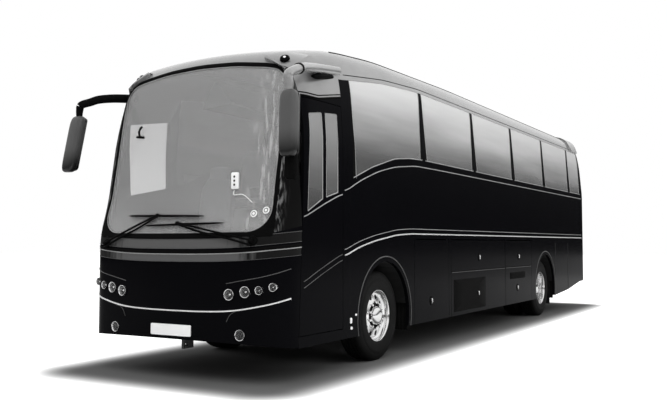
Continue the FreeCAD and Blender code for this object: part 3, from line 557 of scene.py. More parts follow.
def pillar_with_painted_reflection():
    """The black edge of the windscreen, with upright stripes of painted reflection that are strongest low
    down and fade round the corner.
    """
    finish = Finish("screen edge", IOR=1.12)
    reflection_streaks = finish.noise(7.0, 3.0, where=finish.stretched(7.0, 7.0, 0.3)).over(0.45, 0.7)
    ahead = 1.0 - abs(finish.axis("X")).over(1.08, 1.22)
    below = 1.0 - (finish.axis("Z") - 2.2).over(0.0, 0.7) * 0.6
    # Painted reflection: light grey stripes over the black edge.
    finish.set("Base Color", finish.mix(reflection_streaks * (ahead * below), grey(0.003), grey(0.30)))
    finish.set("Roughness", finish.noise(50.0) * 0.15 + 0.35)
    return finish.material


def satin_black():
    finish = Finish("satin black", IOR=1.06)
    finish.set("Base Color", finish.mix(finish.noise(30.0), grey(0.002), grey(0.004)))
    finish.set("Roughness", finish.noise(50.0) * 0.15 + 0.42)
    return finish.material


def bright_metal():
    finish = Finish("bright trim", Metallic=1.0)
    finish.set("Base Color", finish.mix(finish.noise(6.0), grey(0.72), grey(0.86)))
    finish.set("Roughness", finish.noise(14.0) * 0.1 + 0.12)
    return finish.material


def painted_highlight_line():
    """A soft grey painted highlight on thin mouldings and seals, broken here and there."""
    finish = Finish("painted highlight line", Specular_IOR_Level=0.3)
    # Painted highlight: the grey stands for light caught along the edges of black seals and mouldings.
    finish.set("Base Color", finish.mix(finish.noise(5.0, 4.0), grey(0.12), grey(0.34)))
    finish.set("Roughness", finish.noise(40.0) * 0.1 + 0.45)
    return finish.material


def faint_painted_highlight():
    """A dark grey painted highlight, for an edge or crease that only catches a little light."""
    finish = Finish("faint painted highlight", Specular_IOR_Level=0.2)
    # Painted highlight: a faint grey for the light caught on a crease or seam of the black body.
    finish.set("Base Color", finish.mix(finish.noise(5.0, 4.0), grey(0.02), grey(0.10)))
    finish.set("Roughness", finish.noise(40.0) * 0.1 + 0.45)
    return finish.material


def polished_alloy():
    colour = tuple(bpy.context.scene.coach_colours.rim)
    finish = Finish("polished alloy", Metallic=1.0)
    finish.set("Base Color", finish.mix(finish.noise(9.0), tuple(c * 0.9 for c in colour), colour))
    finish.set("Roughness", finish.noise(20.0) * 0.08 + 0.1)
    return finish.material


def dark_metal():
    finish = Finish("chassis paint", Metallic=0.2)
    finish.set("Base Color", finish.mix(finish.noise(5.0, 5.0), grey(0.02), grey(0.05)))
    finish.set("Roughness", finish.noise(12.0, 4.0) * 0.2 + 0.45)
    return finish.material


def cast_metal():
    finish = Finish("cast metal", Metallic=0.5)
    grain = finish.noise(60.0, 6.0)
    finish.set("Base Color", finish.mix(grain, grey(0.07), grey(0.13)))
    finish.set("Roughness", grain * 0.25 + 0.45)
    finish.bump(grain, 0.3, 0.002)
    return finish.material


def sheet_alloy():
    finish = Finish("alloy sheet", Metallic=0.9)
    finish.set("Base Color", finish.mix(finish.noise(3.0, 4.0), grey(0.32), grey(0.42)))
    finish.set("Roughness", finish.noise(25.0) * 0.2 + 0.35)
    return finish.material


def rubber():
    finish = Finish("tyre rubber", Specular_IOR_Level=0.12)
    dust = finish.noise(7.0, 5.0)
    finish.set("Base Color", finish.mix(dust, grey(0.002), grey(0.006)))
    finish.set("Roughness", dust * 0.2 + 0.6)
    finish.bump(finish.noise(220.0), 0.2, 0.001)
    return finish.material


def pane_glass(name, foot, head, dark, light, see_through):
    """Tinted glass whose base colour is darker towards its foot and lighter towards its head: the tint with a
    painted sky reflection, broken by faint level bands of painted reflection.
    """
    finish = Finish(name, Roughness=0.04, Specular_IOR_Level=1.0)
    reflection_streaks = finish.noise(0.6, 3.0, where=finish.stretched(0.5, 0.5, 5.0))
    # Painted reflection: the glass lightens from foot to head as if it mirrored the sky.
    level = (finish.axis("Z") + (reflection_streaks - 0.5) * 0.5).over(foot, head)
    finish.set("Base Color", finish.mix(level, grey(dark), grey(light)))
    finish.set("Alpha", 1.0 - see_through * (1.0 - level * 0.3))
    return finish.material


def screen_glass():
    """The windscreen: an even grey veil of painted reflection, with upright stripes of painted reflection
    near its left edge and a lighter band at its foot.
    """
    finish = Finish("windscreen glass", Roughness=0.05, Specular_IOR_Level=0.25)
    reflection_streaks = finish.noise(5.0, 3.0, where=finish.stretched(6.0, 6.0, 0.25)).over(0.45, 0.75)
    reflection_streaks = reflection_streaks * finish.axis("X").over(0.55, 1.05)
    foot = (1.75 - finish.axis("Z")).over(0.0, 0.3)
    # Painted reflection: the grey, the stripes and the lighter foot stand for light mirrored in the glass.
    reflection_haze = finish.noise(0.9, 3.0) * 0.3 + 0.35 + reflection_streaks * 0.5 + foot * 0.25
    finish.set("Base Color", finish.mix(reflection_haze, grey(0.28), grey(0.58)))
    finish.set("Alpha", 0.30 + reflection_streaks * 0.2)
    return finish.material


def floor_vinyl():
    finish = Finish("floor covering", Specular_IOR_Level=0.3)
    finish.set("Base Color", finish.mix(finish.noise(140.0, 1.0).over(0.55, 0.6), grey(0.05), grey(0.1)))
    finish.set("Roughness", finish.noise(40.0) * 0.15 + 0.55)
    return finish.material


def seat_cloth():
    """Moquette: a fine weave with scattered lighter flecks."""
    colour = tuple(bpy.context.scene.coach_colours.cloth)
    finish = Finish("seat cloth", Sheen_Weight=0.3, Specular_IOR_Level=0.2)
    flecks = finish.node("ShaderNodeTexVoronoi", {}, finish.place(), Scale=38.0).over(0.28, 0.18)
    finish.set("Base Color", finish.mix(flecks, colour, tuple(min(1.0, c * 2.8) for c in colour)))
    weave = finish.noise(700.0, 2.0)
    finish.set("Roughness", weave * 0.1 + 0.82)
    finish.bump(weave, 0.3, 0.002)
    return finish.material


def moulded(name, dark, light, rough):
    finish = Finish(name, Specular_IOR_Level=0.35)
    grain = finish.noise(320.0, 2.0)
    finish.set("Base Color", finish.mix(finish.noise(4.0, 3.0), grey(dark), grey(light)))
    finish.set("Roughness", grain * 0.15 + rough)
    finish.bump(grain, 0.15, 0.0008)
    return finish.material


def lens(name, low, high, alpha):
    """A moulded lens with small cells."""
    finish = Finish(name, Roughness=0.05, Specular_IOR_Level=0.6, Alpha=alpha)
    cells = finish.node("ShaderNodeTexVoronoi", {}, finish.place(), Scale=90.0)
    finish.set("Base Color", finish.mix(cells.over(0.1, 0.5), high, low))
    finish.bump(cells, 0.2, 0.001)
    return finish.material


def reflector(name, low, high):
    finish = Finish(name, Metallic=1.0)
    finish.set("Base Color", finish.mix(finish.noise(40.0), grey(low), grey(high)))
    finish.set("Roughness", finish.noise(30.0) * 0.08 + 0.08)
    return finish.material


def mirror_glass():
    finish = Finish("mirror glass", Metallic=1.0, Roughness=0.02)
    finish.set("Base Color", finish.mix(finish.noise(2.0), grey(0.85), grey(0.9)))
    return finish.material


def mirror_case():
    """A black casing with a painted highlight: dark grey towards its top, where light falls, and black
    towards its foot.
    """
    finish = Finish("mirror casing", Specular_IOR_Level=0.35, Roughness=0.3)
    height = finish.axis("Z") + finish.noise(3.0) * 0.05
    # Painted highlight: the casing lightens with height, as if lit from above.
    finish.set("Base Color", finish.mix(height.over(2.2, 2.45), grey(0.004), grey(0.05)))
    return finish.material


FINISHES = {}
MAKERS = {
    "paint": gloss_paint, "crown": crown_painted_sky, "band": nose_band, "pillar": pillar_with_painted_reflection,
    "satin": satin_black, "bright": bright_metal, "line": painted_highlight_line, "faint": faint_painted_highlight,
    "alloy": polished_alloy, "chassis": dark_metal, "cast": cast_metal, "sheet": sheet_alloy,
    "rubber": rubber, "vinyl": floor_vinyl, "cloth": seat_cloth, "screen": screen_glass,
    "mirror": mirror_glass, "casing": mirror_case,
    "reflector": lambda: reflector("lamp reflector", 0.8, 0.95),
    "dark_bowl": lambda: reflector("lamp bowl", 0.06, 0.16),
    "lens": lambda: lens("clear lens", grey(0.5), grey(0.7), 0.08),
    "red": lambda: lens("red lens", (0.16, 0.004, 0.004), (0.35, 0.01, 0.01), 1.0),
    "amber": lambda: lens("amber lens", (0.5, 0.16, 0.01), (0.7, 0.25, 0.02), 1.0),
    "side_glass": lambda: pane_glass("side glass", 2.25, 3.35, 0.06, 0.50, 0.06),
    "door_glass": lambda: pane_glass("door glass", 1.5, 2.6, 0.045, 0.18, 0.1),
    "clear_glass": lambda: pane_glass("driver glass", 0.0, 4.0, 0.3, 0.5, 0.95),
    "cab": lambda: moulded("cab plastic", 0.02, 0.035, 0.5),
    "lining": lambda: moulded("light lining", 0.3, 0.38, 0.6),
    "white": lambda: moulded("white plastic", 0.7, 0.8, 0.5),
    # Painted shade: this near-black finish stands in for the shade inside the wheel arches, and the rims'
    # inner faces behind the hand holes take it too.
    "liner": lambda: moulded("wheel liner", 0.002, 0.004, 0.8),
}


def finish_of(name):
    """Each finish, made once."""
    if name not in FINISHES:
        FINISHES[name] = MAKERS[name]()
    return FINISHES[name]


NODE_FINISH = {
    "body_paint": "paint", "tinted_glass": "side_glass", "bright_trim": "bright", "floor_covering": "vinyl",
    "bay_sheet": "sheet", "housing_sheet": "liner", "frame_paint": "chassis", "engine_metal": "cast",
    "tyre_rubber": "rubber", "rim_alloy": "alloy", "mechanism": "alloy", "cab_plastic": "cab",
    "wheel_grip": "cab", "seat_cloth": "cloth", "rack_plastic": "cab", "lamp_lens": "lens",
    "tail_lens": "red", "wiper_black": "satin", "mirror_case": "casing",
}


# Lines of the coach that several pieces share, each as a function of the distance back

def roof_edge(back):
    """The top of the side walls: it dips beside the nose, then rises to the cant rail."""
    heights = [SEAM_TOP, 3.07, 3.165, 3.265, CANT, CANT]
    return eased(back, [SEAM_BACK, 0.7, 1.45, 2.3, 3.3, 12.3], heights, 0.08)


def sill_line(back):
    """The foot of the windows, swept down to the door."""
    at = [1.25, 1.45, 1.9, 2.47, 2.9, 3.283, LENGTH]
    return eased(back, at, [1.985, 2.05, 2.205, 2.35, 2.395, SILL, SILL], 0.06)


def head_line(back):
    """The head of the windows, which rises a little behind the door."""
    return eased(back, [1.25, 1.45, 2.3, 3.283, LENGTH], [3.1, 3.13, 3.235, 3.29, 3.29], 0.1)


def belt_line(back, height):
    """The belt moulding: level behind the front axle, and swept down to the door."""
    rise = eased(back, [1.25, 1.58, 1.95, 2.51, 2.92, LENGTH], [-0.253, -0.158, -0.088, -0.018, 0, 0], 0.1)
    return height + rise


def door_head(back):
    """The drip line over the door: level, then rising with the windows behind it."""
    return np.maximum(2.772 + (np.asarray(back, float) - SEAM_BACK) * 0.179, LINTEL + 0.016)


def door_edge(z, gap=0.0):
    """The leaning front edge of the door leaf, moved back by a gap."""
    return DOOR_FRONT + (np.asarray(z, float) - DOOR_FOOT) * DOOR_LEAN / (DOOR_TOP - DOOR_FOOT) + gap


def lattice(corners, steps):
    """Guide points of the left side through a table of (back, z) corners, in steps between its columns."""
    spans = zip(corners.swapaxes(0, 1), corners.swapaxes(0, 1)[1:])
    parts = [np.linspace(first, last, steps + 1)[(i > 0):] for i, (first, last) in enumerate(spans)]
    grid = np.concatenate(parts).transpose(1, 0, 2)
    return points_of(1.0, grid[..., 0], grid[..., 1])


class Piece:
    """What every operator of the coach shares."""

    bl_options = {"REGISTER", "UNDO"}

    def execute(self, context):
        self.build(context.scene.coach_sizes)
        return {"FINISHED"}


class COACH_OT_finishes(Piece, bpy.types.Operator):
    """Gives every node of the frame its finish"""

    bl_idname = "coach.finishes"
    bl_label = "Frame finishes"

    def build(self, sizes):
        slots = {entry["node"]: entry["material_slot"] for entry in frame["record"]["subparts"]}
        for name, node in frame["nodes"].items():
            node.data.materials.clear()
            # Hatches take the roof's finish, whose grey is painted sky reflection.
            node.data.materials.append(finish_of("crown" if "hatch" in name else NODE_FINISH[slots[name]]))


class COACH_OT_walls(Piece, bpy.types.Operator):
    """Side walls between the belt and the roof, with their window openings"""

    bl_idname = "coach.walls"
    bl_label = "Side walls"

    def columns(self):
        """The distances back of the wall's columns, and each window's first and last column."""
        parts, spans = [np.linspace(DOOR_BACK, FIRST_PANE[0], BESIDE_DOOR + 1)], []
        for start, end in PANES:
            count = max(6, int((end - start) / 0.12))
            first = sum(len(part) for part in parts) - 1
            parts.append(np.linspace(start, end, count)[1:])
            spans.append((first, first + count - 1))
            after = TAIL_EDGE if end == LAST_PANE[1] else end + POST
            parts.append(np.linspace(end, after, 3)[1:])
        return np.concatenate(parts), spans

    def lintel(self, wall):
        """The panel over the door: black below the drip line, and above it in the roof's finish with its
        painted sky reflection.
        """
        along = np.linspace(0, 1, 12)
        front = door_edge(LINTEL, -SEAM)
        across = SEAM_BACK + (DOOR_BACK - SEAM_BACK) * along
        rows = [points_of(1.0, front + (DOOR_BACK - front) * along, LINTEL),
                points_of(1.0, across, door_head(across)),
                points_of(1.0, across, roof_edge(across))]
        panelling(wall, rows, (2, 4), FROM_SIDE, kind=(0, 1))

    def cab(self, wall):
        """The wall round the driver's window, from the nose to the first side pane."""
        heights = np.array([BELT_SEAM, 1.90, 2.72, SEAM_TOP])
        edge = door_edge(np.minimum(heights, LINTEL), -SEAM)
        edge[3] = SEAM_BACK
        rear = FIRST_PANE[0]
        (foot_front, foot_rear), (head_front, head_rear) = DRIVER_PANE
        corners = np.array([
            [(edge[0], BELT_SEAM), (foot_front[0], BELT_SEAM), (foot_rear[0], BELT_SEAM), (rear, BELT_SEAM)],
            [(edge[1], 1.88), foot_front, foot_rear, (rear, 2.05)],
            [(edge[2], 2.70), head_front, head_rear, (rear, head_line(rear))],
            [(edge[3], SEAM_TOP), *[(back, roof_edge(back)) for back in (head_front[0], head_rear[0], rear)]],
        ])
        # The band above the driver's window takes the roof's finish, whose grey is painted sky reflection.
        panelling(wall, lattice(corners, 6), (6, 6, 5), FROM_SIDE, holes=[(1, 6, 12)], kind=(0, 0, 1))

    def build(self, sizes):
        back, spans = self.columns()
        heights = (np.full_like(back, BELT_SEAM), sill_line(back), head_line(back), roof_edge(back))
        rows = [points_of(1.0, back, z) for z in heights]
        # The band above the windows takes the roof's finish, whose grey is painted sky reflection.
        steps, kinds = (6, 6, 3), (0, 0, 1)
        left = panelling(Form(), rows, steps, FROM_SIDE, holes=[(1, *span) for span in spans], kind=kinds)
        self.lintel(left)
        left.finish("left_wall_skin", ["paint", "crown"], "body_paint", facing=(1, 0, 0),
                    replaces=["left_wall"], thick=SHELL)

        behind = [row[BESIDE_DOOR:] for row in rows]
        holes = [(1, first - BESIDE_DOOR, last - BESIDE_DOOR) for first, last in spans]
        right = panelling(Form(), behind, steps, FROM_SIDE, holes=holes, kind=kinds)
        self.cab(right)
        right.points = [points * [-1, 1, 1] for points in right.points]
        right.finish("right_wall_skin", ["paint", "crown"], "body_paint", facing=(-1, 0, 0),
                     replaces=["right_wall"], thick=SHELL)


class COACH_OT_glazing(Piece, bpy.types.Operator):
    """Side panes, their seals pale with a painted highlight, and the black edges of the posts between them"""

    bl_idname = "coach.glazing"
    bl_label = "Side glass"

    def pane(self, glass, seals, start, end, side):
        """A pane between the sill and head lines, and the seal along its foot."""
        back = np.linspace(start, end, 16)
        rows = [points_of(side, back, sill_line(back)), points_of(side, back, head_line(back))]
        panelling(glass, rows, 10, FROM_SIDE, inset=GLASS_INSET)
        inner = np.linspace(start + 0.012, end - 0.012, 24)
        strip(seals, side_points(inner, sill_line(inner) + 0.008, side, GLASS_INSET), *SEAL)

    def post_edge(self, posts, seals, at, way, side):
        """The black edge of a post, which is widest at its foot, and the seal beside it."""
        count = 18
        share = np.linspace(0, 1, count)
        z = sill_line(at) + 0.004 + (head_line(at) - sill_line(at) - 0.008) * share
        wide = 0.062 * (1 - share) ** 1.3 + 0.004
        back = np.full(count, at)
        edges = [side_points(back + way * wide * part, z, side, 0.002) for part in (0.0, 0.5, 1.0)]
        posts.grid(np.stack(edges))
        strip(seals, side_points(back + way * (wide + 0.004), z, side, GLASS_INSET), 0.010, 0.005)

    def build(self, sizes):
        for word, side in SIDES.items():
            glass, seals, posts = Form(), Form(), Form()
            for start, end in PANES:
                self.pane(glass, seals, start, end, side)
                for at, way in ((start, 1), (end, -1)):
                    self.post_edge(posts, seals, at, way, side)
            posts.finish(f"{word}_post_edges", "satin", "wiper_black", facing=(side, 0, 0))
            if side < 0:
                rows = [np.linspace(*pair, 8) for pair in DRIVER_PANE]
                rows = [points_of(side, row[:, 0], row[:, 1]) for row in rows]
                panelling(glass, rows, 8, FROM_SIDE, inset=GLASS_INSET, kind=1)
            glass.finish(f"{word}_side_panes", ["side_glass", "clear_glass"], "tinted_glass",
                         facing=(side, 0, 0), replaces=[f"side_glass_{word}"], thick=GLASS)
            seals.finish(f"{word}_pane_seals", "line", "rack_plastic")


def nose_edge(z):
    """The back of the nose moulding: beside the door, then up to the roof seam."""
    z = np.asarray(z, float)
    step = 0.0075 / (SEAM_TOP - LINTEL)
    return np.where(z < LINTEL, door_edge(z, -SEAM), door_edge(LINTEL, -SEAM) + (z - LINTEL) * step)


def round_corner(ahead, edge, centre):
    """A row of points straight ahead, run on over the skin to an edge on both sides."""
    blend = np.linspace(0, 1, CORNER_COLUMNS + 1)[1:, None]
    beyond = settle(ahead[-1] * (1 - blend) + edge * blend, centre)
    return np.concatenate([beyond[::-1] * [-1, 1, 1], ahead, beyond])


def nose_row(width, height, edge_height):
    """Guide points of one row round the nose, from the right edge to the left one. Between plus and
    minus width they lie straight ahead at height(x), and beyond it they run on to the edge."""
    x = np.linspace(-width, width, 33)
    ahead = settle(points_of(x, 0.0, height(x)), FROM_AHEAD)
    edge = side_points(nose_edge(edge_height), np.full(1, edge_height), 1)[0]
    return round_corner(ahead, edge, FROM_NOSE)


def tail_row(height, edge_height, inner=None):
    """Guide points of one row round the tail, from the right side to the left. With inner given, a
    column lies at plus and minus that distance from the middle."""
    x = np.linspace(-TAIL_WIDTH, TAIL_WIDTH, 25)
    if inner is not None:
        outer = np.linspace(inner, TAIL_WIDTH, 5)[1:]
        x = np.concatenate([-outer[::-1], np.linspace(-inner, inner, 17), outer])
    behind = settle(points_of(x, LENGTH, height), FROM_BEHIND)
    edge = side_points(TAIL_EDGE, np.full(1, edge_height), 1)[0]
    return round_corner(behind, edge, FROM_TAIL)


def rising(height, edge):
    """A level row that starts to rise, well before the corner, towards its height at the door."""
    return lambda x: height + (edge - height) * 0.55 * np.abs(x / NOSE_WIDTH) ** 3


def nose_line(points, count=40):
    """A path on the nose through (x, height) points, with x measured along the skin's own bow."""
    across, z = curve(points, count).T
    return settle(points_of(across, 0.03 + 0.2 * np.abs(across / 1.25) ** 6, z), FROM_NOSE)


def glass_foot(x):
    """The windscreen's lower edge, which rises a little towards its corners."""
    return 1.432 + 0.01246 * np.square(x)


def glass_head(x):
    """The windscreen's upper edge, which sinks towards its corners."""
    return eased(np.abs(x), [0, 0.45, 0.9, 1.08], [3.212, 3.195, 3.14, 3.07], 0.06)


def seam_height(x):
    """The seam between nose and roof."""
    return eased(np.abs(x), [0, 0.5, 0.8, 1.0], [3.272, 3.264, 3.238, 3.2], 0.06)


def roof_seam():
    return nose_row(0.8, seam_height, SEAM_TOP)


def screen_points(across, up, inset=0.0):
    """Skin points of the windscreen: across from -1 to 1 over its width, up from 0 to 1 over its height."""
    across, up = np.broadcast_arrays(np.asarray(across, float), np.asarray(up, float))
    foot = settle(points_of(across * FOOT_WIDTH, 0.0, glass_foot(across * FOOT_WIDTH)), FROM_AHEAD)
    head = settle(points_of(across * HEAD_WIDTH, 0.0, glass_head(across * HEAD_WIDTH)), FROM_AHEAD)
    return settle(foot * (1 - up[..., None]) + head * up[..., None], FROM_NOSE, inset)


def rounded(width, height, low, high, count=14):
    """A rectangle with rounded corners, centred on 0: low and high are the radii of its lower and
    upper ones."""
    turn = np.linspace(0, np.pi / 2, count)
    arcs = []
    for index, (across, up, radius) in enumerate(((1, 1, high), (-1, 1, high), (-1, -1, low), (1, -1, low))):
        angle = turn + index * np.pi / 2
        centre = np.array([across * (width / 2 - radius), up * (height / 2 - radius)])
        arcs.append(centre + radius * np.column_stack([np.cos(angle), np.sin(angle)]))
    straight = np.linspace(0, 1, 18)[1:-1, None]
    parts = []
    for arc, after in zip(arcs, arcs[1:] + arcs[:1]):
        parts += [arc, arc[-1] + (after[0] - arc[-1]) * straight]
    return np.concatenate(parts)


def upright_plate(form, loop, centre, sections):
    """A plate across Y from an (x, z) outline: each section is a share of its size and a step along Y."""
    rings = [np.column_stack([loop[:, 0] * share, np.full(len(loop), step), loop[:, 1] * share]) + centre
             for share, step in sections]
    form.solid(np.stack(rings))


class COACH_OT_nose(Piece, bpy.types.Operator):
    """Nose moulding round the windscreen, both bumpers and the blank plates"""

    bl_idname = "coach.nose"
    bl_label = "Nose and bumper"

    def build(self, sizes):
        heights = ((BUMPER_TOP, BUMPER_TOP), (1.1, 1.13), (1.172, 1.24), (1.245, 1.315), (1.268, 1.338),
                   (1.298, 1.37), (1.388, 1.47))
        rows = [nose_row(NOSE_WIDTH, rising(middle, edge), edge) for middle, edge in heights]
        rows += [nose_row(FOOT_WIDTH, glass_foot, 1.52), nose_row(HEAD_WIDTH, glass_head, 3.06), roof_seam()]
        first, last = CORNER_COLUMNS, len(rows[0]) - 1 - CORNER_COLUMNS
        # Kinds: paint, the nose band with its painted reflection, the screen's edge with painted reflection
        # stripes, and above the screen the roof's finish with its painted sky.
        steps, kinds = (6, 2, 2, 1, 1, 2, 2, 24, 3), (0, 0, 1, 0, 0, 1, 0, 2, 3)
        nose = panelling(Form(), rows, steps, FROM_NOSE, holes=[(SCREEN_BAND, first, last)], kind=kinds)
        nose.finish("nose_skin", ["paint", "band", "pillar", "crown"], "body_paint",
                    facing=from_ends, replaces=["front_panel"], thick=SHELL)
        panes = [row[first:last + 1] for row in rows[SCREEN_BAND:SCREEN_BAND + 2]]
        glass = panelling(Form(), panes, 24, FROM_NOSE, inset=GLASS_INSET)
        glass.finish("windscreen_glass", "screen", "tinted_glass", facing=(0, -1, 0), replaces=["windscreen"],
                     thick=GLASS)
        self.bumpers(rows[0])
        self.plates()

    def bumpers(self, seam):
        foot = nose_row(NOSE_WIDTH, lambda x: 0.405 - 0.02 * (x / NOSE_WIDTH) ** 2, 0.36)
        bumper = panelling(Form(), [foot, seam], 8, FROM_NOSE)
        rear = [tail_row(0.50, 0.56), tail_row(REAR_BUMPER_TOP, REAR_BUMPER_TOP)]
        panelling(bumper, [row[::-1] for row in rear], 6, FROM_TAIL)
        bumper.finish("bumper_skins", "paint", "body_paint", replaces=["bumpers"], thick=SHELL,
                      facing=from_ends)

    def plates(self):
        plates = Form()
        loop = rounded(0.52, 0.111, 0.012, 0.012, 5)
        for y, z in ((NOSE - 0.004, 0.494), (NOSE + LENGTH + 0.005, 0.615)):
            sections = ((0.985, -0.006), (1, -0.004), (1, 0.004), (0.985, 0.006))
            upright_plate(plates, loop, (0, y, z), sections)
        plates.finish("blank_plates", "white", "rack_plastic")


class COACH_OT_screen_trim(Piece, bpy.types.Operator):
    """The windscreen's rounded gasket and the painted highlight of its inner line, and what hangs on the
    glass inside
    """

    bl_idname = "coach.screen_trim"
    bl_label = "Windscreen trim"

    def loop(self, width, height, low, high, inset):
        """A rounded rectangle on the windscreen, in the screen's own metres."""
        flat = rounded(width, height, low, high)
        return screen_points(flat[:, 0] / 1.08, 0.5 + flat[:, 1] / 1.75, inset)

    def ring(self, form, path, width):
        """A half-round line along a closed path on the skin."""
        outward = skin_normals(path)
        way = np.roll(path, -1, 0) - np.roll(path, 1, 0)
        across = np.cross(outward, way / np.linalg.norm(way, axis=-1, keepdims=True))
        angle = np.linspace(0, np.pi, 7)
        profile = np.column_stack([np.cos(angle) * width / 2, np.sin(angle) * 0.004 - 0.001])
        points = swept(path, across, outward, profile)
        form.grid(np.concatenate([points, points[:1]]))

    def build(self, sizes):
        gasket, line = Form(), Form()
        sections = ((2.23, 1.815, 0.03, 0.03, 0.0), (2.22, 1.80, 0.05, 0.05, -0.006),
                    (2.185, 1.745, 0.20, 0.11, -0.006), (2.165, 1.715, 0.24, 0.13, 0.0),
                    (2.16, 1.710, 0.24, 0.13, 0.006))
        gasket.grid(np.stack([self.loop(*section) for section in sections]), around=True)
        self.ring(line, self.loop(2.152, 1.70, 0.235, 0.125, -0.001), 0.009)
        gasket.finish("screen_gasket", "satin", "wiper_black", facing=(0, -1, 0.2))
        line.finish("screen_line", "line", "rack_plastic")
        hung, dark = Form(), Form()
        self.discs(hung, dark)
        self.sensor(hung, dark)
        hung.finish("screen_devices", "white", "rack_plastic")
        self.bracket(dark)
        dark.finish("screen_fittings", "satin", "cab_plastic")

    def discs(self, hung, dark):
        """Two plain round discs, each with a dark ring."""
        facing = (0.12, -1, 0.3)
        disc = [(-0.004, 0.0), (-0.004, 0.034), (0.0, 0.037), (0.004, 0.034), (0.004, 0.0)]
        ring = [(0.0045, 0.016), (0.006, 0.018), (0.006, 0.021), (0.0045, 0.023)]
        for across, up in ((0.83, 0.115), (0.945, 0.135)):
            centre = screen_points(across, up, -0.005)
            turned(hung, disc, centre, axis=facing, sides=32)
            turned(dark, ring, centre, axis=facing, sides=32)

    def sensor(self, hung, dark):
        """A small box with three dark studs, and its lead down to the corner."""
        box = screen_points(0.60, 0.305, -0.012)
        sections = ((0.9, -0.014), (1, -0.009), (1, 0.009), (0.9, 0.014))
        upright_plate(hung, rounded(0.085, 0.165, 0.015, 0.015, 5), box, sections)
        for drop in (0.04, 0.0, -0.04):
            stud = [(0.0, 0.0), (0.002, 0.012), (0.003, 0.0)]
            turned(dark, stud, box + [0.0, -0.0145, drop], axis=(0, -1, 0), sides=16)
        lead = curve([(0.60, 0.25), (0.605, 0.225), (0.70, 0.225), (0.80, 0.18)], 30)
        round_bar(hung, screen_points(*lead.T, -0.004), 0.004, sides=8)

    def bracket(self, dark):
        """A small hooked bracket on the driver's side."""
        foot = screen_points(-0.66, 0.63, -0.016)
        round_bar(dark, [foot + [-0.05, 0, -0.02], foot + [0.05, 0, -0.03]], 0.014, sides=10)
        hook = curve([foot + [-0.01, 0, -0.02], foot + [-0.02, 0, 0.04], foot + [0.02, 0, 0.09]], 12)
        round_bar(dark, hook, 0.012, sides=10)


class COACH_OT_roof(Piece, bpy.types.Operator):
    """Roof from the seam above the windscreen to the tail, in three parts that meet without a step"""

    bl_idname = "coach.roof"
    bl_label = "Roof"

    def arch(self, angle, back):
        """Guide points over the roof at angles from upright about its centre line."""
        return points_of(np.sin(angle), back, ROOF_CENTRE + np.cos(angle))

    def lean(self, edge):
        """The angle from upright at which the roof's edge lies."""
        return np.arctan2(edge[..., 0], edge[..., 2] - ROOF_CENTRE)

    def cap(self, roof, flank, across, back, steps, centre):
        """An end of the roof, between a row round it and the arch over a distance back."""
        lower = np.concatenate([flank * [-1, 1, 1], across[1:-1], flank[::-1]])
        start = self.lean(flank[0])
        upper = settle(self.arch(np.linspace(-start, start, len(lower)), back), FROM_ROOF)
        panelling(roof, [lower, upper], steps, centre)

    def build(self, sizes):
        roof = Form()
        back = np.linspace(FRONT_CAP, SEAM_BACK, 14)
        self.cap(roof, side_points(back, roof_edge(back), 1), roof_seam(), FRONT_CAP, 26, DOME)

        spans = ((FRONT_CAP, 4.686, 26), (4.7, 5.5, 8), (5.5, 8.786, 20), (8.8, 9.6, 8), (9.6, REAR_CAP, 10))
        back = np.concatenate([np.linspace(*span)[(i > 0):] for i, span in enumerate(spans)])
        start = self.lean(side_points(back, roof_edge(back), 1))
        angle = start[:, None] * np.linspace(-1, 1, 61)
        roof.grid(settle(self.arch(angle, back[:, None]), FROM_ROOF))

        flank = side_points(np.linspace(REAR_CAP, TAIL_EDGE, 8), np.full(8, CANT), 1)
        self.cap(roof, flank, tail_row(CANT, CANT), REAR_CAP, 16, TAIL_DOME)
        # The roof takes the crown finish, whose grey is painted sky reflection.
        roof.finish("roof_skin", "crown", "body_paint", facing=lambda place: (place.x, 0, place.z - DOME[2]),
                    replaces=["roof_panel"], thick=0.03)
        self.gutters()

    def gutters(self):
        """A drip rail along the roof's shoulder, and the seam over the windows."""
        gutter = Form()
        back = np.linspace(1.35, REAR_CAP, 90)
        rail = points_of(1.035, back, crown_height(back) - 0.085)
        strip(gutter, settle(rail, FROM_ROOF), 0.045, 0.006)
        strip(gutter, side_points(back, roof_edge(back) + 0.02), 0.010, 0.003)
        gutter.mirrored().finish("roof_gutters", "satin", "wiper_black")


class COACH_OT_tail(Piece, bpy.types.Operator):
    """Rear panel with its window and the opening of the engine lid"""

    bl_idname = "coach.tail"
    bl_label = "Tail"

    def build(self, sizes):
        lid = 0.858
        heights = ((REAR_BUMPER_TOP, lid), (0.772, lid), (1.634, lid), (2.35, 0.95), (3.15, 0.90),
                   (CANT, 0.90))
        rows = [tail_row(z, z, inner) for z, inner in heights]
        lid_band, window_band, first, last = 1, 3, 12, 28
        panel = panelling(Form(), rows, (1, 4, 4, 8, 3), FROM_TAIL,
                          holes=[(lid_band, first, last), (window_band, first, last)])
        panel.finish("rear_skin", "paint", "body_paint", facing=from_ends,
                     replaces=["rear_panel"], thick=SHELL)
        panes = [row[first:last + 1] for row in rows[window_band:window_band + 2]]
        glass = panelling(Form(), panes, 10, FROM_TAIL, inset=GLASS_INSET)
        glass.finish("rear_pane", "side_glass", "tinted_glass", facing=(0, 1, 0), replaces=["rear_window"],
                     thick=GLASS)


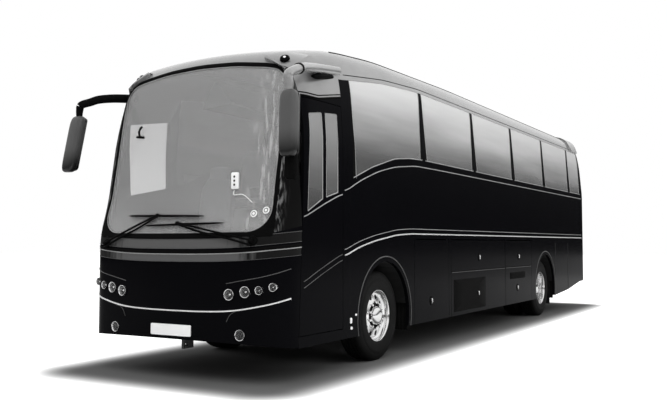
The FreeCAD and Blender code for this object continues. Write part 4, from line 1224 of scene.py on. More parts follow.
class COACH_OT_mouldings(Piece, bpy.types.Operator):
    """Bright belt mouldings, the thin lines along the sides and the lines across the nose"""

    bl_idname = "coach.mouldings"
    bl_label = "Mouldings"

    def build(self, sizes):
        forms = bright, thin, dark, faint = Form(), Form(), Form(), Form()
        self.sides(sizes, *forms)
        for form in forms:
            form.mirrored()
        for side in (1, -1):
            self.lamp_lines(bright, faint, side)
        for height, edge, width, form in ((1.245, 1.315, 0.010, thin), (1.172, 1.24, 0.005, faint),
                                          (1.300, 1.372, 0.006, faint), (1.392, 1.472, 0.006, faint),
                                          (1.268, 1.338, 0.03, dark)):
            strip(form, nose_row(NOSE_WIDTH, rising(height, edge), edge), width, 0.004)
        bright.finish("bright_mouldings", "bright", "bright_trim", replaces=["brightwork"])
        thin.finish("thin_mouldings", "line", "rack_plastic")
        faint.finish("faint_mouldings", "faint", "rack_plastic")
        dark.finish("panel_seams", "satin", "wiper_black")

    def sides(self, sizes, bright, thin, dark, faint):
        """The belt, the line under the windows, the arch lips and two seams behind the rear wheels."""
        back = np.concatenate([np.linspace(1.26, 3.2, 50), np.linspace(3.3, 11.7, 40)])
        belt = belt_line(back, sizes.belt_height)
        strip(bright, side_points(back, belt), sizes.belt_width, 0.009)
        strip(thin, side_points(back, belt + 0.062), 0.008, 0.004)
        at, heights = [1.27, 1.61, 2.03, 2.47, 3.06, 3.85, LENGTH], [1.9, 2.04, 2.17, 2.26, 2.32, 2.325, 2.32]
        strip(thin, side_points(back, eased(back, at, heights, 0.12)), *SEAL)
        angle, radius = np.linspace(np.radians(-14), np.radians(194), 48), 0.685
        for axle in AXLES:
            arch = side_points(axle - radius * np.cos(angle), AXLE_HEIGHT + radius * np.sin(angle))
            strip(faint, arch, 0.014, 0.006)
        z = np.linspace(0.42, 1.36, 8)
        for seam in (9.56, 10.52):
            strip(dark, side_points(np.full(8, seam), z), 0.012, 0.003)
            strip(faint, side_points(np.full(8, seam + 0.012), z), 0.005, 0.003)

    def lamp_lines(self, bright, faint, side):
        """The bright strip under the head lamps, and the faint creases above and below it."""
        chrome = [(0, 0.686), (0.35, 0.688), (0.62, 0.698), (0.80, 0.716), (0.97, 0.745), (1.1, 0.775),
                  (1.2, 0.805), (1.27, 0.83)]
        above = [(0.66, 0.965), (0.8, 0.99), (1.0, 1.025), (1.15, 1.065), (1.27, 1.11)]
        below = [(0.80, 0.715), (0.74, 0.69), (0.70, 0.66), (0.665, 0.60)]
        strip(bright, nose_line(np.array(chrome) * [side, 1], 60), 0.017, 0.006)
        strip(faint, nose_line(np.array(above) * [side, 1]), 0.008, 0.004)
        strip(faint, nose_line(np.array(below) * [side, 1], 20), 0.006, 0.003)


class COACH_OT_lockers(Piece, bpy.types.Operator):
    """Handles, split lines, vent and recess of the luggage flaps, each on its own flap"""

    bl_idname = "coach.lockers"
    bl_label = "Flap fittings"

    # For each flap: handles as (back, z), split lines as (start, end), and dark fields as (start, end,
    # foot, head, number of slats)
    FITTINGS = {
        1: ([(3.53, 0.61)], [], []),
        2: ([(5.32, 1.144), (5.27, 0.616)], [(4.235, 6.495)], [(4.30, 5.59, 0.40, 0.85, 0)]),
        3: ([(7.23, 1.13), (7.155, 0.608)], [(6.565, 7.955)], [(6.76, 7.59, 0.76, 0.87, 5)]),
    }

    def handle(self, bright, dark, back, z):
        """A lever over a round recess."""
        centre = side_points(back, np.full(1, z), 1)[0]
        bowl = [(-0.002, 0.0), (0.003, 0.04), (0.005, 0.05), (0.003, 0.058), (-0.004, 0.06)]
        turned(dark, bowl, centre, sides=32)
        lever = np.array([(0.008, 0, 0.03), (0.013, 0, 0.015), (0.014, 0, -0.015), (0.008, 0, -0.03)])
        round_bar(bright, lever + centre, [0.006, 0.011, 0.011, 0.006], sides=10)

    def field(self, dark, start, end, low, high, slats):
        """A dark rounded field with level slats across it."""
        middle = np.array([(start + end) / 2, (low + high) / 2])
        loop = rounded(end - start, high - low, 0.015, 0.015, 4)
        sections = ((0.001, -0.002), (0.5, -0.002), (0.98, -0.003), (1.0, 0.001))
        rings = [side_points(*(middle + loop * share).T, 1, inset) for share, inset in sections]
        dark.grid(np.stack(rings), around=True)
        along = np.linspace(start + 0.03, end - 0.03, 8)
        for step in range(1, slats + 1):
            z = low + (high - low) * step / (slats + 1)
            strip(dark, side_points(along, np.full(8, z)), 0.012, 0.008)

    def build(self, sizes):
        for word, side in SIDES.items():
            for number, (handles, splits, fields) in self.FITTINGS.items():
                bright, dark, thin = Form(), Form(), Form()
                for back, z in handles:
                    self.handle(bright, dark, back, z)
                for start, end in splits:
                    along = np.linspace(start, end, 12)
                    strip(dark, side_points(along, np.full(12, 0.962)), 0.012, 0.003)
                    strip(thin, side_points(along, np.full(12, 0.948)), 0.007, 0.003)
                for field in fields:
                    self.field(dark, *field)
                for form, ending, finish, slot in ((bright, "levers", "bright", "bright_trim"),
                                                   (dark, "recesses", "satin", "wiper_black"),
                                                   (thin, "splits", "faint", "rack_plastic")):
                    if form.points:
                        form.points = [points * [side, 1, 1] for points in form.points]
                        form.finish(f"{word}_flap_{number}_{ending}", finish, slot,
                                    body=f"{word}_locker_{number}")
        self.markers()

    def markers(self):
        """Small side markers ahead of the front wheels."""
        marks = Form()
        sections = ((0.9, -0.008), (1, -0.005), (1, 0.002))
        for back, z, tall in ((1.39, 0.53, 0.06), (1.5, 0.585, 0.02), (1.40, 0.45, 0.03)):
            loop = rounded(0.035, tall, 0.008, 0.008, 4)
            rings = [side_points(*(loop * share + [back, z]).T, 1, inset) for share, inset in sections]
            marks.solid(np.stack(rings))
        marks.mirrored().finish("side_markers", "white", "rack_plastic")


class COACH_OT_door(Piece, bpy.types.Operator):
    """Entrance door leaf with its two panes and the lines that run on over it"""

    bl_idname = "coach.door"
    bl_label = "Entrance door"

    PANE_COLUMNS = ((5, 10), (15, 20))

    def guides(self):
        """Guide points of the leaf. Each level is a height and the rise of its six corners above it."""
        flat = (0, 0, 0, 0, 0, 0)
        levels = ((DOOR_FOOT, flat), (1.66, (0, 0, 0.135, 0.155, 0.215, 0.24)),
                  (2.65, (0, 0, 0.035, 0.04, 0.06, 0.065)), (DOOR_TOP, flat))
        corners = []
        for z, rises in levels:
            backs = (door_edge(z), door_edge(z, 0.09), 0.815, 0.885, 1.12, 1.22)
            corners.append([(back, z + rise) for back, rise in zip(backs, rises)])
        return lattice(np.array(corners, float), 5)

    def pane_seals(self, seals, foot, head):
        """Seals along both upright edges of a pane, and along its foot, pale as a painted highlight."""
        share = np.linspace(0.01, 0.99, 16)[:, None]
        for end in (0, -1):
            strip(seals, settle(foot[end] * (1 - share) + head[end] * share, FROM_SIDE, GLASS_INSET), *SEAL)
        share = np.linspace(0.02, 0.98, 10)[:, None]
        along = foot[0] * (1 - share) + foot[-1] * share + [0, 0, 0.008]
        strip(seals, settle(along, FROM_SIDE, GLASS_INSET), *SEAL)

    def build(self, sizes):
        rows = self.guides()
        holes = [(1, first, last) for first, last in self.PANE_COLUMNS]
        leaf = panelling(Form(), rows, (10, 10, 2), FROM_SIDE, holes=holes)
        leaf.finish("door_skin", "paint", "body_paint", body="entrance_door", facing=(1, 0, 0),
                    replaces=["door_leaf"], thick=0.04)
        glass, seals, faint = Form(), Form(), Form()
        for first, last in self.PANE_COLUMNS:
            pane = [row[first:last + 1] for row in rows[1:3]]
            panelling(glass, pane, 10, FROM_SIDE, inset=GLASS_INSET)
            self.pane_seals(seals, *pane)
        glass.finish("door_panes", "door_glass", "tinted_glass", body="entrance_door", facing=(1, 0, 0),
                     replaces=["door_glass"], thick=GLASS)
        back = np.linspace(0.46, 1.21, 20)
        strip(seals, side_points(back, eased(back, [0.45, 0.88, 1.22], [1.6, 1.765, 1.875], 0.1)), *SEAL)
        belt = eased(back, [0.4, 0.8, 1.22], [0.955, 1.105, 1.245], 0.1)
        for drop in (0.0, 0.062):
            strip(faint, side_points(back, belt - drop), 0.008, 0.004)
        faint.finish("door_belt_lines", "faint", "rack_plastic", body="entrance_door")
        seals.finish("door_lines", "line", "rack_plastic", body="entrance_door")
        self.brackets()
        self.header()

    def brackets(self):
        """Blocks between the leaf and its arms."""
        brackets = Form()
        for z in (0.9, 2.72):
            reach = 1.235 - max(0, z - SILL) * SIDE_LEAN
            brackets.block((1.098, NOSE + 0.684, z - 0.02), (reach, NOSE + 0.734, z + 0.02))
        brackets.finish("door_brackets", "alloy", "mechanism", body="entrance_door")

    def header(self):
        """The drip line over the door, and a thinner line above it."""
        header = Form()
        back = np.linspace(SEAM_BACK, 1.222, 16)
        for lift, width in ((0.0, 0.02), (0.032, 0.01)):
            strip(header, side_points(back, door_head(back) + lift), width, 0.012)
        header.finish("door_header_lines", "satin", "wiper_black")


class COACH_OT_lamps(Piece, bpy.types.Operator):
    """Round head, fog and tail lamps with rings, bowls and lenses, and the roof's marker lamps"""

    bl_idname = "coach.lamps"
    bl_label = "Lamps"

    # Profiles as (along, radius) pairs, each radius as a share of the lamp's own
    RING = ((-0.03, 0.98), (0.006, 1.0), (0.011, 0.96), (0.009, 0.88), (0.002, 0.82))
    BOWL = ((-0.03, 0.0), (-0.028, 0.3), (-0.018, 0.6), (0.003, 0.84))
    BULB_CAP = ((-0.03, 0.22), (-0.012, 0.22), (-0.006, 0.12), (-0.005, 0.0))
    LENS = ((0.003, 0.86), (0.009, 0.6), (0.013, 0.3), (0.0145, 0.0))

    def lamp(self, rings, bowls, lenses, centre, radius, ahead, kind=0):
        """A ring, a bowl with its bulb cap, and a domed lens, all turned about one axis."""
        for form, profile, sides, part in ((rings, self.RING, 40, 0), (bowls, self.BOWL, 40, 0),
                                           (bowls, self.BULB_CAP, 24, 1), (lenses, self.LENS, 32, kind)):
            turned(form, np.array(profile) * [1, radius], centre, ahead, sides=sides, kind=part)

    def build(self, sizes):
        rings, bowls, lenses = Form(), Form(), Form()
        places = ((0.70, 0.862, 0.056, 0.036), (0.87, 0.89, 0.056, 0.062), (1.015, 0.908, 0.042, 0.087),
                  (1.145, 0.94, 0.042, 0.13), (0.815, 0.48, 0.055, 0.06))
        for x, z, radius, depth in places:
            for side in (1, -1):
                centre = (side * x, NOSE + depth - 0.004, z)
                self.lamp(rings, bowls, lenses, centre, radius, (side * x * 0.12, -1, 0.0))
        rings.finish("head_lamp_rings", "bright", "bright_trim")
        bowls.finish("head_lamp_bowls", ["dark_bowl", "reflector"], "lamp_lens")
        lenses.finish("head_lamp_lenses", "lens", "lamp_lens", replaces=["headlamps"])
        self.tail_lamps()
        self.markers()

    def tail_lamps(self):
        rings, bowls, lenses = Form(), Form(), Form()
        for z, kind in ((0.94, 0), (1.085, 1), (1.23, 0)):
            for side in (1, -1):
                centre = (side * 1.01, NOSE + LENGTH - 0.005, z)
                self.lamp(rings, bowls, lenses, centre, 0.058, (0, 1, 0), kind)
        rings.finish("tail_lamp_rings", "bright", "bright_trim")
        bowls.finish("tail_lamp_bowls", ["reflector", "satin"], "tail_lens")
        lenses.finish("tail_lamp_lenses", ["red", "amber"], "tail_lens", replaces=["tail_lamps"])

    def markers(self):
        """Small lamps in round cups at the roof's front corners."""
        markers, cups = Form(), Form()
        cup = [(-0.01, 0.052), (0.010, 0.048), (0.018, 0.036), (0.020, 0.018), (0.018, 0.0)]
        lens = [(0.018, 0.016), (0.024, 0.012), (0.026, 0.006), (0.0265, 0.0)]
        for side in (1, -1):
            place = settle(points_of(side * 1.03, SEAM_BACK, 3.26), DOME)
            outward = skin_normals(place[None])[0]
            turned(cups, cup, place, outward, sides=32)
            turned(markers, lens, place, outward, sides=24)
        cups.finish("marker_cups", "satin", "wiper_black")
        markers.finish("marker_lenses", "white", "lamp_lens")


class COACH_OT_wipers(Piece, bpy.types.Operator):
    """Two wipers: a capped pivot, twin rods to a blade carrier, and a blade that follows the glass"""

    bl_idname = "coach.wipers"
    bl_label = "Wipers"

    # For each wiper: its pivot, its blade carrier and both ends of its blade, as (x, z)
    PLACES = (((0.925, 1.377), (0.06, 1.557), ((-0.37, 1.533), (0.60, 1.551))),
              ((-0.985, 1.35), (-0.235, 1.642), ((-0.68, 1.640), (0.36, 1.622))))

    def on_glass(self, x, z, lift):
        return settle(points_of(x, 0.03 + 0.09 * np.square(x), z), FROM_NOSE, -lift)

    def arm(self, arms, foot, head):
        """A capped pivot, twin rods from it, and the pin of the blade carrier."""
        outward = skin_normals(foot[None])[0]
        cap = [(-0.01, 0.05), (0.012, 0.048), (0.02, 0.04), (0.024, 0.02), (0.025, 0.0)]
        knob = [(0.02, 0.022), (0.045, 0.02), (0.05, 0.012), (0.051, 0.0)]
        pin = [(-0.02, 0.0), (-0.018, 0.016), (0.012, 0.016), (0.016, 0.0)]
        turned(arms, cap, foot, outward, sides=32)
        turned(arms, knob, foot, outward, sides=24)
        near = foot + outward * 0.04
        for drop in (0.0, 0.035):
            lower = np.array([0, 0, -drop])
            bends = [near * (1 - share) + head * share + lower + [0, -0.012, 0] for share in (0.28, 0.65)]
            path = curve([near + lower * 1.4, *bends, head + lower * 0.4], 24)
            round_bar(arms, path, 0.0105, sides=10)
        turned(arms, pin, head - outward * 0.005, (1, 0, 0), sides=20)

    def blade(self, blades, ends):
        """A tapered spine over the glass, its rubber lip and the rail between them."""
        x = np.linspace(ends[0][0], ends[1][0], 40)
        z = np.interp(x, *zip(*ends))
        spine, lip = self.on_glass(x, z, 0.026), self.on_glass(x, z, 0.007)
        thick = [0.004, 0.009, 0.013, 0.009, 0.004]
        round_bar(blades, spine, np.interp(np.linspace(0, 1, 40), [0, 0.06, 0.5, 0.94, 1], thick))
        round_bar(blades, lip, 0.004, sides=8)
        round_bar(blades, (spine * 0.6 + lip * 0.4)[2:-2], 0.0055, sides=8)

    def build(self, sizes):
        arms, blades = Form(), Form()
        for pivot, carrier, ends in self.PLACES:
            self.arm(arms, self.on_glass(*pivot, 0.0), self.on_glass(*carrier, 0.036))
            self.blade(blades, ends)
        arms.finish("wiper_arms", "satin", "wiper_black")
        blades.finish("wiper_blades", "satin", "wiper_black", replaces=["wipers"])


def squared(value, power):
    """A sine or cosine raised to a power with its sign kept, which squares up a round section."""
    return np.sign(value) * np.abs(value) ** power


class COACH_OT_mirrors(Piece, bpy.types.Operator):
    """Mirror heads with rounded cases and inset glasses, on swept arms from the roof's corners"""

    bl_idname = "coach.mirrors"
    bl_label = "Mirrors"

    # For each mirror: its side, its head's upper and lower end, the bends of its arm, how far the head
    # and the arm's end stand ahead of these, and the arm's radius; points are (x, back, z)
    PLACES = (
        (1, (1.438, 0.055, 2.76), (1.488, -0.04, 2.13),
         [(1.175, 1.27, 3.20), (1.24, 0.78, 3.13), (1.335, 0.36, 3.05), (1.40, 0.1, 2.96),
          (1.437, 0.05, 2.84), (1.438, 0.055, 2.74)], 0.1, 0.05),
        (-1, (-1.438, 0.155, 2.76), (-1.488, 0.06, 2.13),
         [(-1.155, 0.66, 3.015), (-1.245, 0.39, 2.99), (-1.35, 0.19, 2.94), (-1.415, 0.15, 2.86),
          (-1.438, 0.155, 2.74)], 0.08, 0.048),
    )

    def head(self, cases, glasses, top, foot, half, deep):
        """Rounded sections between two points, drawn in towards both ends; the glass faces back."""
        share = 0.5 - 0.5 * np.cos(np.linspace(0, np.pi, 26))
        pinch = (1 - np.abs(2 * share - 1) ** 7 + 1e-4) ** (1 / 4)
        angle = np.linspace(0, 2 * np.pi, 36, endpoint=False)
        wide, thick = half * squared(np.cos(angle), 0.5), deep * squared(np.sin(angle), 0.75)
        section = np.stack([wide, thick, 0 * angle], -1)
        middle = foot + (top - foot) * share[:, None]
        cases.solid(middle[:, None] + section[None] * pinch[:, None, None])
        tall = np.linalg.norm(top - foot)
        loop = rounded(half * 1.66, tall * 0.9, 0.04, 0.04, 6)
        for form, sections in ((cases, ((1.06, 0.7), (1.04, 1.06), (0.99, 1.08), (0.97, 1.0))),
                               (glasses, ((0.98, 1.01), (0.6, 1.01), (0.001, 1.01)))):
            flat = loop[:, :1] * [1, 0, 0] + loop[:, 1:] * (top - foot) / tall
            rings = [(top + foot) / 2 + flat * size + [0, deep * depth, 0] for size, depth in sections]
            form.grid(np.stack(rings), around=True)

    def door_side(self, joints, glasses, path, foot):
        """The collar half along the arm on the door's side, the arm's mount, and a small lower head."""
        collar = [(-0.012, 0.0), (-0.012, 0.055), (0.012, 0.055), (0.012, 0.0)]
        turned(joints, collar, path[30], path[31] - path[29], sides=32)
        mount = np.array([(1.15, 1.24, 3.125), (1.2, 0.95, 3.085), (1.25, 0.66, 3.03)])
        mount = curve(mount + [0, NOSE, 0], 20)
        thick = np.interp(np.linspace(0, 1, 20), [0, 0.2, 0.8, 1], [0.02, 0.045, 0.045, 0.02])
        round_bar(joints, mount, thick, sides=20, flat=0.7)
        low = foot + [-0.03, 0.09, 0.0]
        self.head(joints, glasses, low + [0, 0.0, 0.06], low + [0.01, -0.01, -0.2], 0.06, 0.04)

    def build(self, sizes):
        cases, glasses, arms, joints = Form(), Form(), Form(), Form()
        for side, top, foot, bends, ahead, radius in self.PLACES:
            shift = np.array([0, -ahead, 0])
            top, foot, bends = (np.array(points) + [0, NOSE, 0] for points in (top, foot, bends))
            top, foot = top + shift, foot + shift
            self.head(cases, glasses, top, foot, 0.09, 0.058)
            path = curve(bends, 44)
            path[-14:] += shift
            path = curve(path[::6], 60)
            thick = np.interp(np.linspace(0, 1, 60), [0, 0.3, 0.8, 1], [1.05, 1, 0.86, 0.7])
            round_bar(arms, path, thick * radius, sides=24, kind=0 if side > 0 else 1)
            if side > 0:
                self.door_side(joints, glasses, path, foot)
        cases.finish("mirror_cases", "casing", "mirror_case", replaces=["mirrors"])
        glasses.finish("mirror_panes", "mirror", "mirror_case", facing=(0, 1, 0))
        # The door side's arm takes the roof's finish, whose grey is painted sky reflection.
        arms.finish("mirror_arms", ["crown", "satin"], "mirror_case")
        joints.finish("mirror_joints", "satin", "wiper_black")


def pad(form, centre, half, lean=0.0):
    """A stuffed block: a superellipsoid whose corners are round and whose faces swell in the middle."""
    power = 0.42
    u = np.linspace(0, 2 * np.pi, 24, endpoint=False)
    v = np.linspace(-np.pi / 2, np.pi / 2, 13)[1:-1, None]
    ring = squared(np.cos(v), power)
    axes = ring * squared(np.cos(u), power), ring * squared(np.sin(u), power), squared(np.sin(v), power)
    x, y, z = (axis * size for axis, size in zip(np.broadcast_arrays(*axes), half))
    cos, sin = np.cos(lean), np.sin(lean)
    form.solid(np.stack([x, y * cos + z * sin, z * cos - y * sin], -1) + np.asarray(centre, float))


class COACH_OT_seats(Piece, bpy.types.Operator):
    """Passenger and driver's seats as padded pieces, with legs, rails and armrests beneath"""

    bl_idname = "coach.seats"
    bl_label = "Seats"

    def seat(self, pads, x, front, crown):
        """One passenger seat: its cushion, its back and its head rest."""
        half, lean = 0.226, np.radians(13)
        pad(pads, (x, front + 0.235, SALOON_FLOOR + 0.385), (half, 0.235, 0.044 + crown), -0.05)
        pad(pads, (x, front + 0.535, SALOON_FLOOR + 0.73), (half * 0.98, 0.06, 0.33), lean)
        pad(pads, (x, front + 0.605, SALOON_FLOOR + 1.03), (half * 0.62, 0.045, 0.09), lean)

    def stand(self, frames, side, front):
        """Armrests, legs and the rail of a double seat."""
        def place(x, back, up):
            return side * x, front + back, SALOON_FLOOR + up

        for x in (0.28, 0.72, 1.17):
            rest = [place(x, 0.12, 0.56), place(x, 0.35, 0.58), place(x, 0.52, 0.58)]
            round_bar(frames, rest, [0.012, 0.02, 0.014], sides=8)
        for back in (0.15, 0.43):
            round_bar(frames, [place(0.415, back, 0.002), place(0.415, back, 0.33)], 0.018, sides=8)
        round_bar(frames, [place(0.27, 0.43, 0.325), place(1.18, 0.43, 0.325)], 0.016, sides=8)

    def driver_seat(self, frames):
        """The driver's pads, and the folded bellows they stand on."""
        cab = Form()
        x, front, floor, lean = -0.62, NOSE + 1.01, 1.05, np.radians(9)
        pad(cab, (x, front + 0.21, floor + 0.375), (0.24, 0.235, 0.065), -0.05)
        pad(cab, (x, front + 0.47, floor + 0.74), (0.235, 0.06, 0.34), lean)
        pad(cab, (x, front + 0.53, floor + 1.12), (0.14, 0.045, 0.10), lean)
        cab.finish("driver_pads", "cloth", "seat_cloth", replaces=["driver_seat"])
        for fold, width in enumerate((0.24, 0.20, 0.24, 0.20, 0.24)):
            loop = rounded(width, width, 0.03, 0.03, 4)
            centre = np.array([x, front + 0.26, floor + 0.003 + fold * 0.06])
            rings = [np.column_stack([loop * share, np.full(len(loop), up)]) + centre
                     for share, up in ((0.96, 0.0), (1.0, 0.01), (1.0, 0.05), (0.96, 0.06))]
            frames.solid(np.stack(rings))

    def build(self, sizes):
        pads, frames = Form(), Form()
        for row in range(SEAT_ROWS):
            front = NOSE + FIRST_ROW + SEAT_PITCH * row
            for side in (1, -1):
                for x in (0.49, 0.955):
                    self.seat(pads, side * x, front, sizes.seat_crown)
                self.stand(frames, side, front)
        pads.finish("passenger_pads", "cloth", "seat_cloth", replaces=["passenger_seats"])
        self.driver_seat(frames)
        frames.finish("seat_frames", "satin", "cab_plastic")


class COACH_OT_steering(Piece, bpy.types.Operator):
    """Steering wheel: a round grip, three spokes and a domed boss, on the wheel's own body"""

    bl_idname = "coach.steering"
    bl_label = "Steering wheel"

    def build(self, sizes):
        form = Form()
        centre, axis = np.array([-0.62, NOSE + 0.79, 1.56]), np.array([0, 0.4226, 0.9063])
        angle = np.linspace(0, 2 * np.pi, 17)[:-1]
        grip = np.column_stack([0.013 * np.sin(angle), 0.2155 + 0.0135 * np.cos(angle)])
        turned(form, grip, centre, axis, sides=72, closed=True)
        boss = [(-0.03, 0.0), (-0.03, 0.046), (0.0, 0.05), (0.012, 0.042), (0.016, 0.0)]
        turned(form, boss, centre, axis, sides=40)
        across = np.array([1.0, 0, 0])
        ahead = np.cross(axis, across)
        for turn in np.radians([90, 210, 330]):
            way = across * np.cos(turn) + ahead * np.sin(turn)
            bends = ((0.03, 0.008), (0.09, 0.008), (0.15, 0.005), (0.205, 0.0))
            spoke = [centre + way * reach - axis * drop for reach, drop in bends]
            round_bar(form, spoke, [0.017, 0.015, 0.012, 0.011], flat=0.5)
        form.finish("steering_grip", "cab", "wheel_grip", body="steering_wheel", replaces=["steering_wheel"])


def hand_hole_disc(form, holes):
    """A dished disc in as many sectors as it has holes. Each sector is a ruled grid between its round
    hole and its own outline, which is a square in radius and angle."""
    def points_at(radius, angle, x):
        return np.stack([x, radius * np.cos(angle), radius * np.sin(angle)], -1)

    def dish(radius):
        depths = [0.245, 0.235, 0.215, 0.205, 0.21, 0.225]
        return np.interp(radius, [0.11, 0.15, 0.2, 0.245, 0.265, 0.278], depths)

    hole, pitch = 0.031, 0.2175
    middle, half = 0.2125, 0.0655
    step = 2 * np.pi / holes
    turn = np.linspace(0, 2 * np.pi, 33)[:, None]
    share = np.linspace(0, 1, 5)[None, :]
    square = np.stack([np.cos(turn), np.sin(turn)], -1)
    square = square / np.abs(square).max(-1, keepdims=True)
    radius = (pitch + np.cos(turn) * hole) * (1 - share) + (middle + square[..., 0] * half) * share
    angle = np.sin(turn) * hole / pitch * (1 - share) + square[..., 1] * step / 2 * share
    for index in range(holes):
        form.grid(points_at(radius, angle + index * step, dish(radius)))
        edge, swing = np.repeat(radius[:, :1], 2, 1), np.repeat(angle[:, :1], 2, 1) + index * step
        form.grid(points_at(edge, swing, dish(edge) - [0, 0.03]))


class COACH_OT_wheels(Piece, bpy.types.Operator):
    """Tyres with grooved treads, and polished rims with hand holes, nuts and hub caps"""

    bl_idname = "coach.wheels"
    bl_label = "Wheels"

    # Profiles as (x, radius) pairs: the outer lip of every rim, then hub, barrel and inner face of a
    # front rim and of a rear pair, and where their nuts start
    LIP = [(0.262, 0.280), (0.272, 0.285), (0.279, 0.291), (0.279, 0.297), (0.27, 0.30), (0.262, 0.292)]
    FRONT_RIM = ([(0.245, 0.11), (0.262, 0.105), (0.285, 0.095), (0.30, 0.075), (0.306, 0.04),
                  (0.307, 0.002)],
                 [(0.225, 0.278), *LIP, (0.0125, 0.292), (0.0125, 0.28), (0.2, 0.277)],
                 [(0.115, 0.0356), (0.115, 0.105), (0.205, 0.115), (0.195, 0.2), (0.2, 0.277)])
    REAR_RIM = ([(0.06, 0.11), (0.15, 0.108), (0.2, 0.105), (0.225, 0.09), (0.235, 0.05), (0.236, 0.002)],
                [(0.08, 0.278), *LIP, (-0.325, 0.292), (-0.325, 0.28), (0.07, 0.277)],
                [(0.07, 0.277), (0.065, 0.2), (0.05, 0.11), (0.0, 0.1), (0.0, 0.0456)])
    FRONT_NUT, REAR_NUT = 0.23, 0.065

    def tyre(self, form, inner, side, centre, sizes):
        """One profile: bead, bulged wall, rounded shoulder and a tread with its grooves."""
        width, radius = 0.29, AXLE_HEIGHT
        wall = [(0.014, 0.292), (0.004, 0.30), (0.0, 0.33), (-0.004, 0.36), (-0.006, 0.40), (-0.004, 0.425),
                (0.0, 0.43), (0.0, 0.445), (0.006, 0.465), (0.016, 0.49), (0.03, 0.505)]
        tread = []
        for at in np.linspace(0.045, width - 0.045, sizes.tyre_grooves + 2)[1:-1]:
            tread += [(at - 0.006, radius), (at - 0.004, radius - 0.014)]
            tread += [(at + 0.004, radius - 0.014), (at + 0.006, radius)]
        wall += [(0.044, 0.512), (0.06, radius)]
        profile = wall + tread + [(width - along, around) for along, around in reversed(wall)]
        profile = [(side * (inner + along), around) for along, around in profile]
        turned(form, profile, centre, sides=120, closed=True)

    def rim(self, front, sizes):
        """The disc, hub, barrel and nuts of a front rim, or of a rear pair, whose disc is dished inwards."""
        form = Form()
        hand_hole_disc(form, sizes.hand_holes)
        if not front:
            form.points = [points * [-1, 1, 1] + [0.305, 0, 0] for points in form.points]
        for index, profile in enumerate(self.FRONT_RIM if front else self.REAR_RIM):
            turned(form, profile, (0, 0, 0), sides=80, kind=index // 2)
        nut, nuts = self.FRONT_NUT if front else self.REAR_NUT, 10
        for angle in (np.arange(nuts) + 0.5) * 2 * np.pi / nuts:
            y, z = 0.15 * np.cos(angle), 0.15 * np.sin(angle)
            path = [(nut + along, y, z) for along in (0, 0.02, 0.032, 0.038)]
            round_bar(form, path, [0.0165, 0.0165, 0.015, 0.006], sides=6)
        return form

    def build(self, sizes):
        ends = (("front", AXLES[0], (OUTER_TYRE,), ""), ("rear", AXLES[1], (OUTER_TYRE, INNER_TYRE), "s"))
        for word, side in SIDES.items():
            for place, axle, inners, ending in ends:
                centre = np.array([0, NOSE + axle, AXLE_HEIGHT])
                body = f"{place}_{word}_wheel{ending}"
                tyres = Form()
                for inner in inners:
                    self.tyre(tyres, inner, side, centre, sizes)
                tyres.finish(f"{place}_{word}_rubber", "rubber", "tyre_rubber", body=body,
                             replaces=[f"{place}_{word}_tyre{ending}"], sharp=45)
                disc = self.rim(place == "front", sizes)
                out = np.array([OUTER_TYRE, 0, 0])
                disc.points = [(points + out) * [side, 1, 1] + centre for points in disc.points]
                # The rims' inner faces take the near-black finish as painted shade behind the hand holes.
                disc.finish(f"{place}_{word}_disc", ["alloy", "liner"], "rim_alloy", body=body,
                            replaces=[f"{place}_{word}_rim{ending}"])


class COACH_OT_flaps(Piece, bpy.types.Operator):
    """Ribbed rubber mud flaps behind all four wheels"""

    bl_idname = "coach.flaps"
    bl_label = "Mud flaps"

    def build(self, sizes):
        form = Form()
        inner, outer, rib, thick = 0.60, 1.222, 0.05, 0.005
        x = np.linspace(inner, outer, 60)
        ripple = 0.003 * np.cos((x - inner) * 2 * np.pi / rib)
        sections = ((0.29, 0.3), (0.30, 1.0), (0.5, 1.0), (0.7, 1.0), (0.93, 1.0), (0.94, 0.3))
        for back in (2.912, 9.545):
            rows = [np.concatenate([points_of(x, back - (thick + ripple) * swell, z),
                                    points_of(x[::-1], back + thick * swell, z)]) for z, swell in sections]
            form.solid(np.stack(rows))
        form.mirrored().finish("mud_flaps", "rubber", "tyre_rubber")


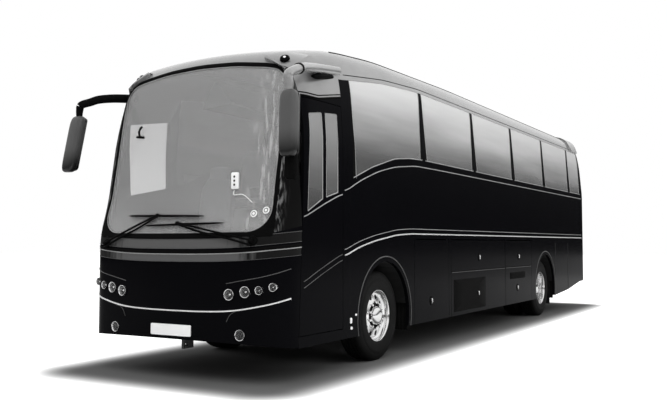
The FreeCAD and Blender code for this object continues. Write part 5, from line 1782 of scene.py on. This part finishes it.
class COACH_OT_stage(Piece, bpy.types.Operator):
    """Floor, lights, world and the camera at the photograph's place"""

    bl_idname = "coach.stage"
    bl_label = "Studio"

    # Soft lamps that light the paint and leave no shape in its reflections: name, place, turn in
    # degrees, size and power
    LAMPS = (("key", (8, -13, 14), (40, 0, 32), 12, 1900), ("fill", (-14, -8, 9), (58, 0, -62), 12, 900),
             ("rear", (2, 18, 10), (-58, 0, 0), 12, 900), ("side", (18, 2, 12), (52, 0, 90), 14, 1900))

    def floor(self, colour):
        """A pale floor that turns white away from the coach for the camera. Under the coach its base colour
        falls to a painted shadow, which deepens the shadow the lamps cast.
        """
        bpy.ops.mesh.primitive_plane_add(size=160)
        floor = bpy.context.object
        floor.name = "floor"
        finish = Finish("pale floor", Roughness=0.9, Specular_IOR_Level=0.0)
        x, y = finish.axis("X"), finish.axis("Y")
        beside, ahead = (abs(x) - 1.1).most(0.0), (abs(y) - 5.85).most(0.0)
        away = beside * beside + ahead * ahead
        # Painted shadow: the base colour darkens to grey 0.1 over the coach's footprint.
        finish.set("Base Color", finish.mix(away.over(0.0, 0.5), grey(0.10), colour))
        camera = finish.node("ShaderNodeLightPath", {}, out="Is Camera Ray")
        finish.set("Emission Color", finish.mix(away.over(0.02, 0.7) * camera, grey(0.0), grey(1.0)))
        finish.set("Emission Strength", 0.75)
        floor.data.materials.append(finish.material)

    def world(self):
        """White for the camera and through glass, softer on matt faces, and dark below for reflections."""
        world = bpy.data.worlds.new("studio")
        world.use_nodes = True
        world.node_tree.nodes.clear()
        sky = Tree(world.node_tree)
        shine = sky.mix(sky.axis("Z").over(0.02, 0.34), grey(0.03), grey(1.0))
        seen, glossy, through = (sky.node("ShaderNodeLightPath", {}, out=f"Is {ray} Ray")
                                 for ray in ("Camera", "Glossy", "Transmission"))
        white, soft, upper = (sky.node("ShaderNodeBackground", {}, colour, strength)
                              for colour, strength in ((grey(1.0), 1.0), (grey(1.0), 0.7), (shine, 1.0)))
        backdrop = sky.node("ShaderNodeMixShader", {}, seen.most(through), soft, white)
        sky.node("ShaderNodeOutputWorld", {}, sky.node("ShaderNodeMixShader", {}, glossy, backdrop, upper))
        return world

    def lamp(self, scene, name, place, turn, size, power):
        lamp = bpy.data.lights.new(name, "AREA")
        lamp.size = size
        lamp.energy = power
        lamp.specular_factor = 0.0
        holder = bpy.data.objects.new(name, lamp)
        scene.collection.objects.link(holder)
        holder.location = place
        holder.rotation_euler = Euler([np.radians(a) for a in turn])
        holder.visible_glossy = False

    def camera(self, scene):
        camera = bpy.data.cameras.new("photo camera")
        camera.lens = 43.05
        camera.sensor_width = 36
        camera.clip_end = 400
        holder = bpy.data.objects.new("photo camera", camera)
        scene.collection.objects.link(holder)
        holder.location = (5.447, NOSE - 6.073, 1.355)
        holder.rotation_euler = Euler((np.radians(93.09), 0, np.radians(30.44)))
        scene.camera = holder

    def build(self, sizes):
        scene = bpy.context.scene
        self.floor(tuple(scene.coach_colours.floor))
        scene.world = self.world()
        for lamp in self.LAMPS:
            self.lamp(scene, *lamp)
        self.camera(scene)
        scene.view_settings.view_transform = "Standard"


OPERATORS = [COACH_OT_finishes, COACH_OT_walls, COACH_OT_glazing, COACH_OT_nose, COACH_OT_screen_trim,
             COACH_OT_roof, COACH_OT_tail, COACH_OT_mouldings, COACH_OT_lockers, COACH_OT_door,
             COACH_OT_lamps, COACH_OT_wipers, COACH_OT_mirrors, COACH_OT_seats, COACH_OT_steering,
             COACH_OT_wheels, COACH_OT_flaps, COACH_OT_stage]


class COACH_PT_panel(bpy.types.Panel):
    """Lists the coach's pieces in the sidebar"""

    bl_label = "Coach"
    bl_idname = "COACH_PT_panel"
    bl_space_type = "VIEW_3D"
    bl_region_type = "UI"
    bl_category = "Coach"

    def draw(self, context):
        for operator in OPERATORS:
            self.layout.operator(operator.bl_idname)
        for group in (context.scene.coach_sizes, context.scene.coach_colours):
            for name in group.__annotations__:
                self.layout.prop(group, name)


CLASSES = [CoachSizes, CoachColours, *OPERATORS, COACH_PT_panel]


def register():
    for entry in CLASSES:
        bpy.utils.register_class(entry)
    bpy.types.Scene.coach_sizes = PointerProperty(type=CoachSizes)
    bpy.types.Scene.coach_colours = PointerProperty(type=CoachColours)


def unregister():
    del bpy.types.Scene.coach_sizes
    del bpy.types.Scene.coach_colours
    for entry in reversed(CLASSES):
        bpy.utils.unregister_class(entry)


def main():
    register()
    for operator in OPERATORS:
        group, name = operator.bl_idname.split(".")
        getattr(getattr(bpy.ops, group), name)()


if __name__ == "__main__":
    main()
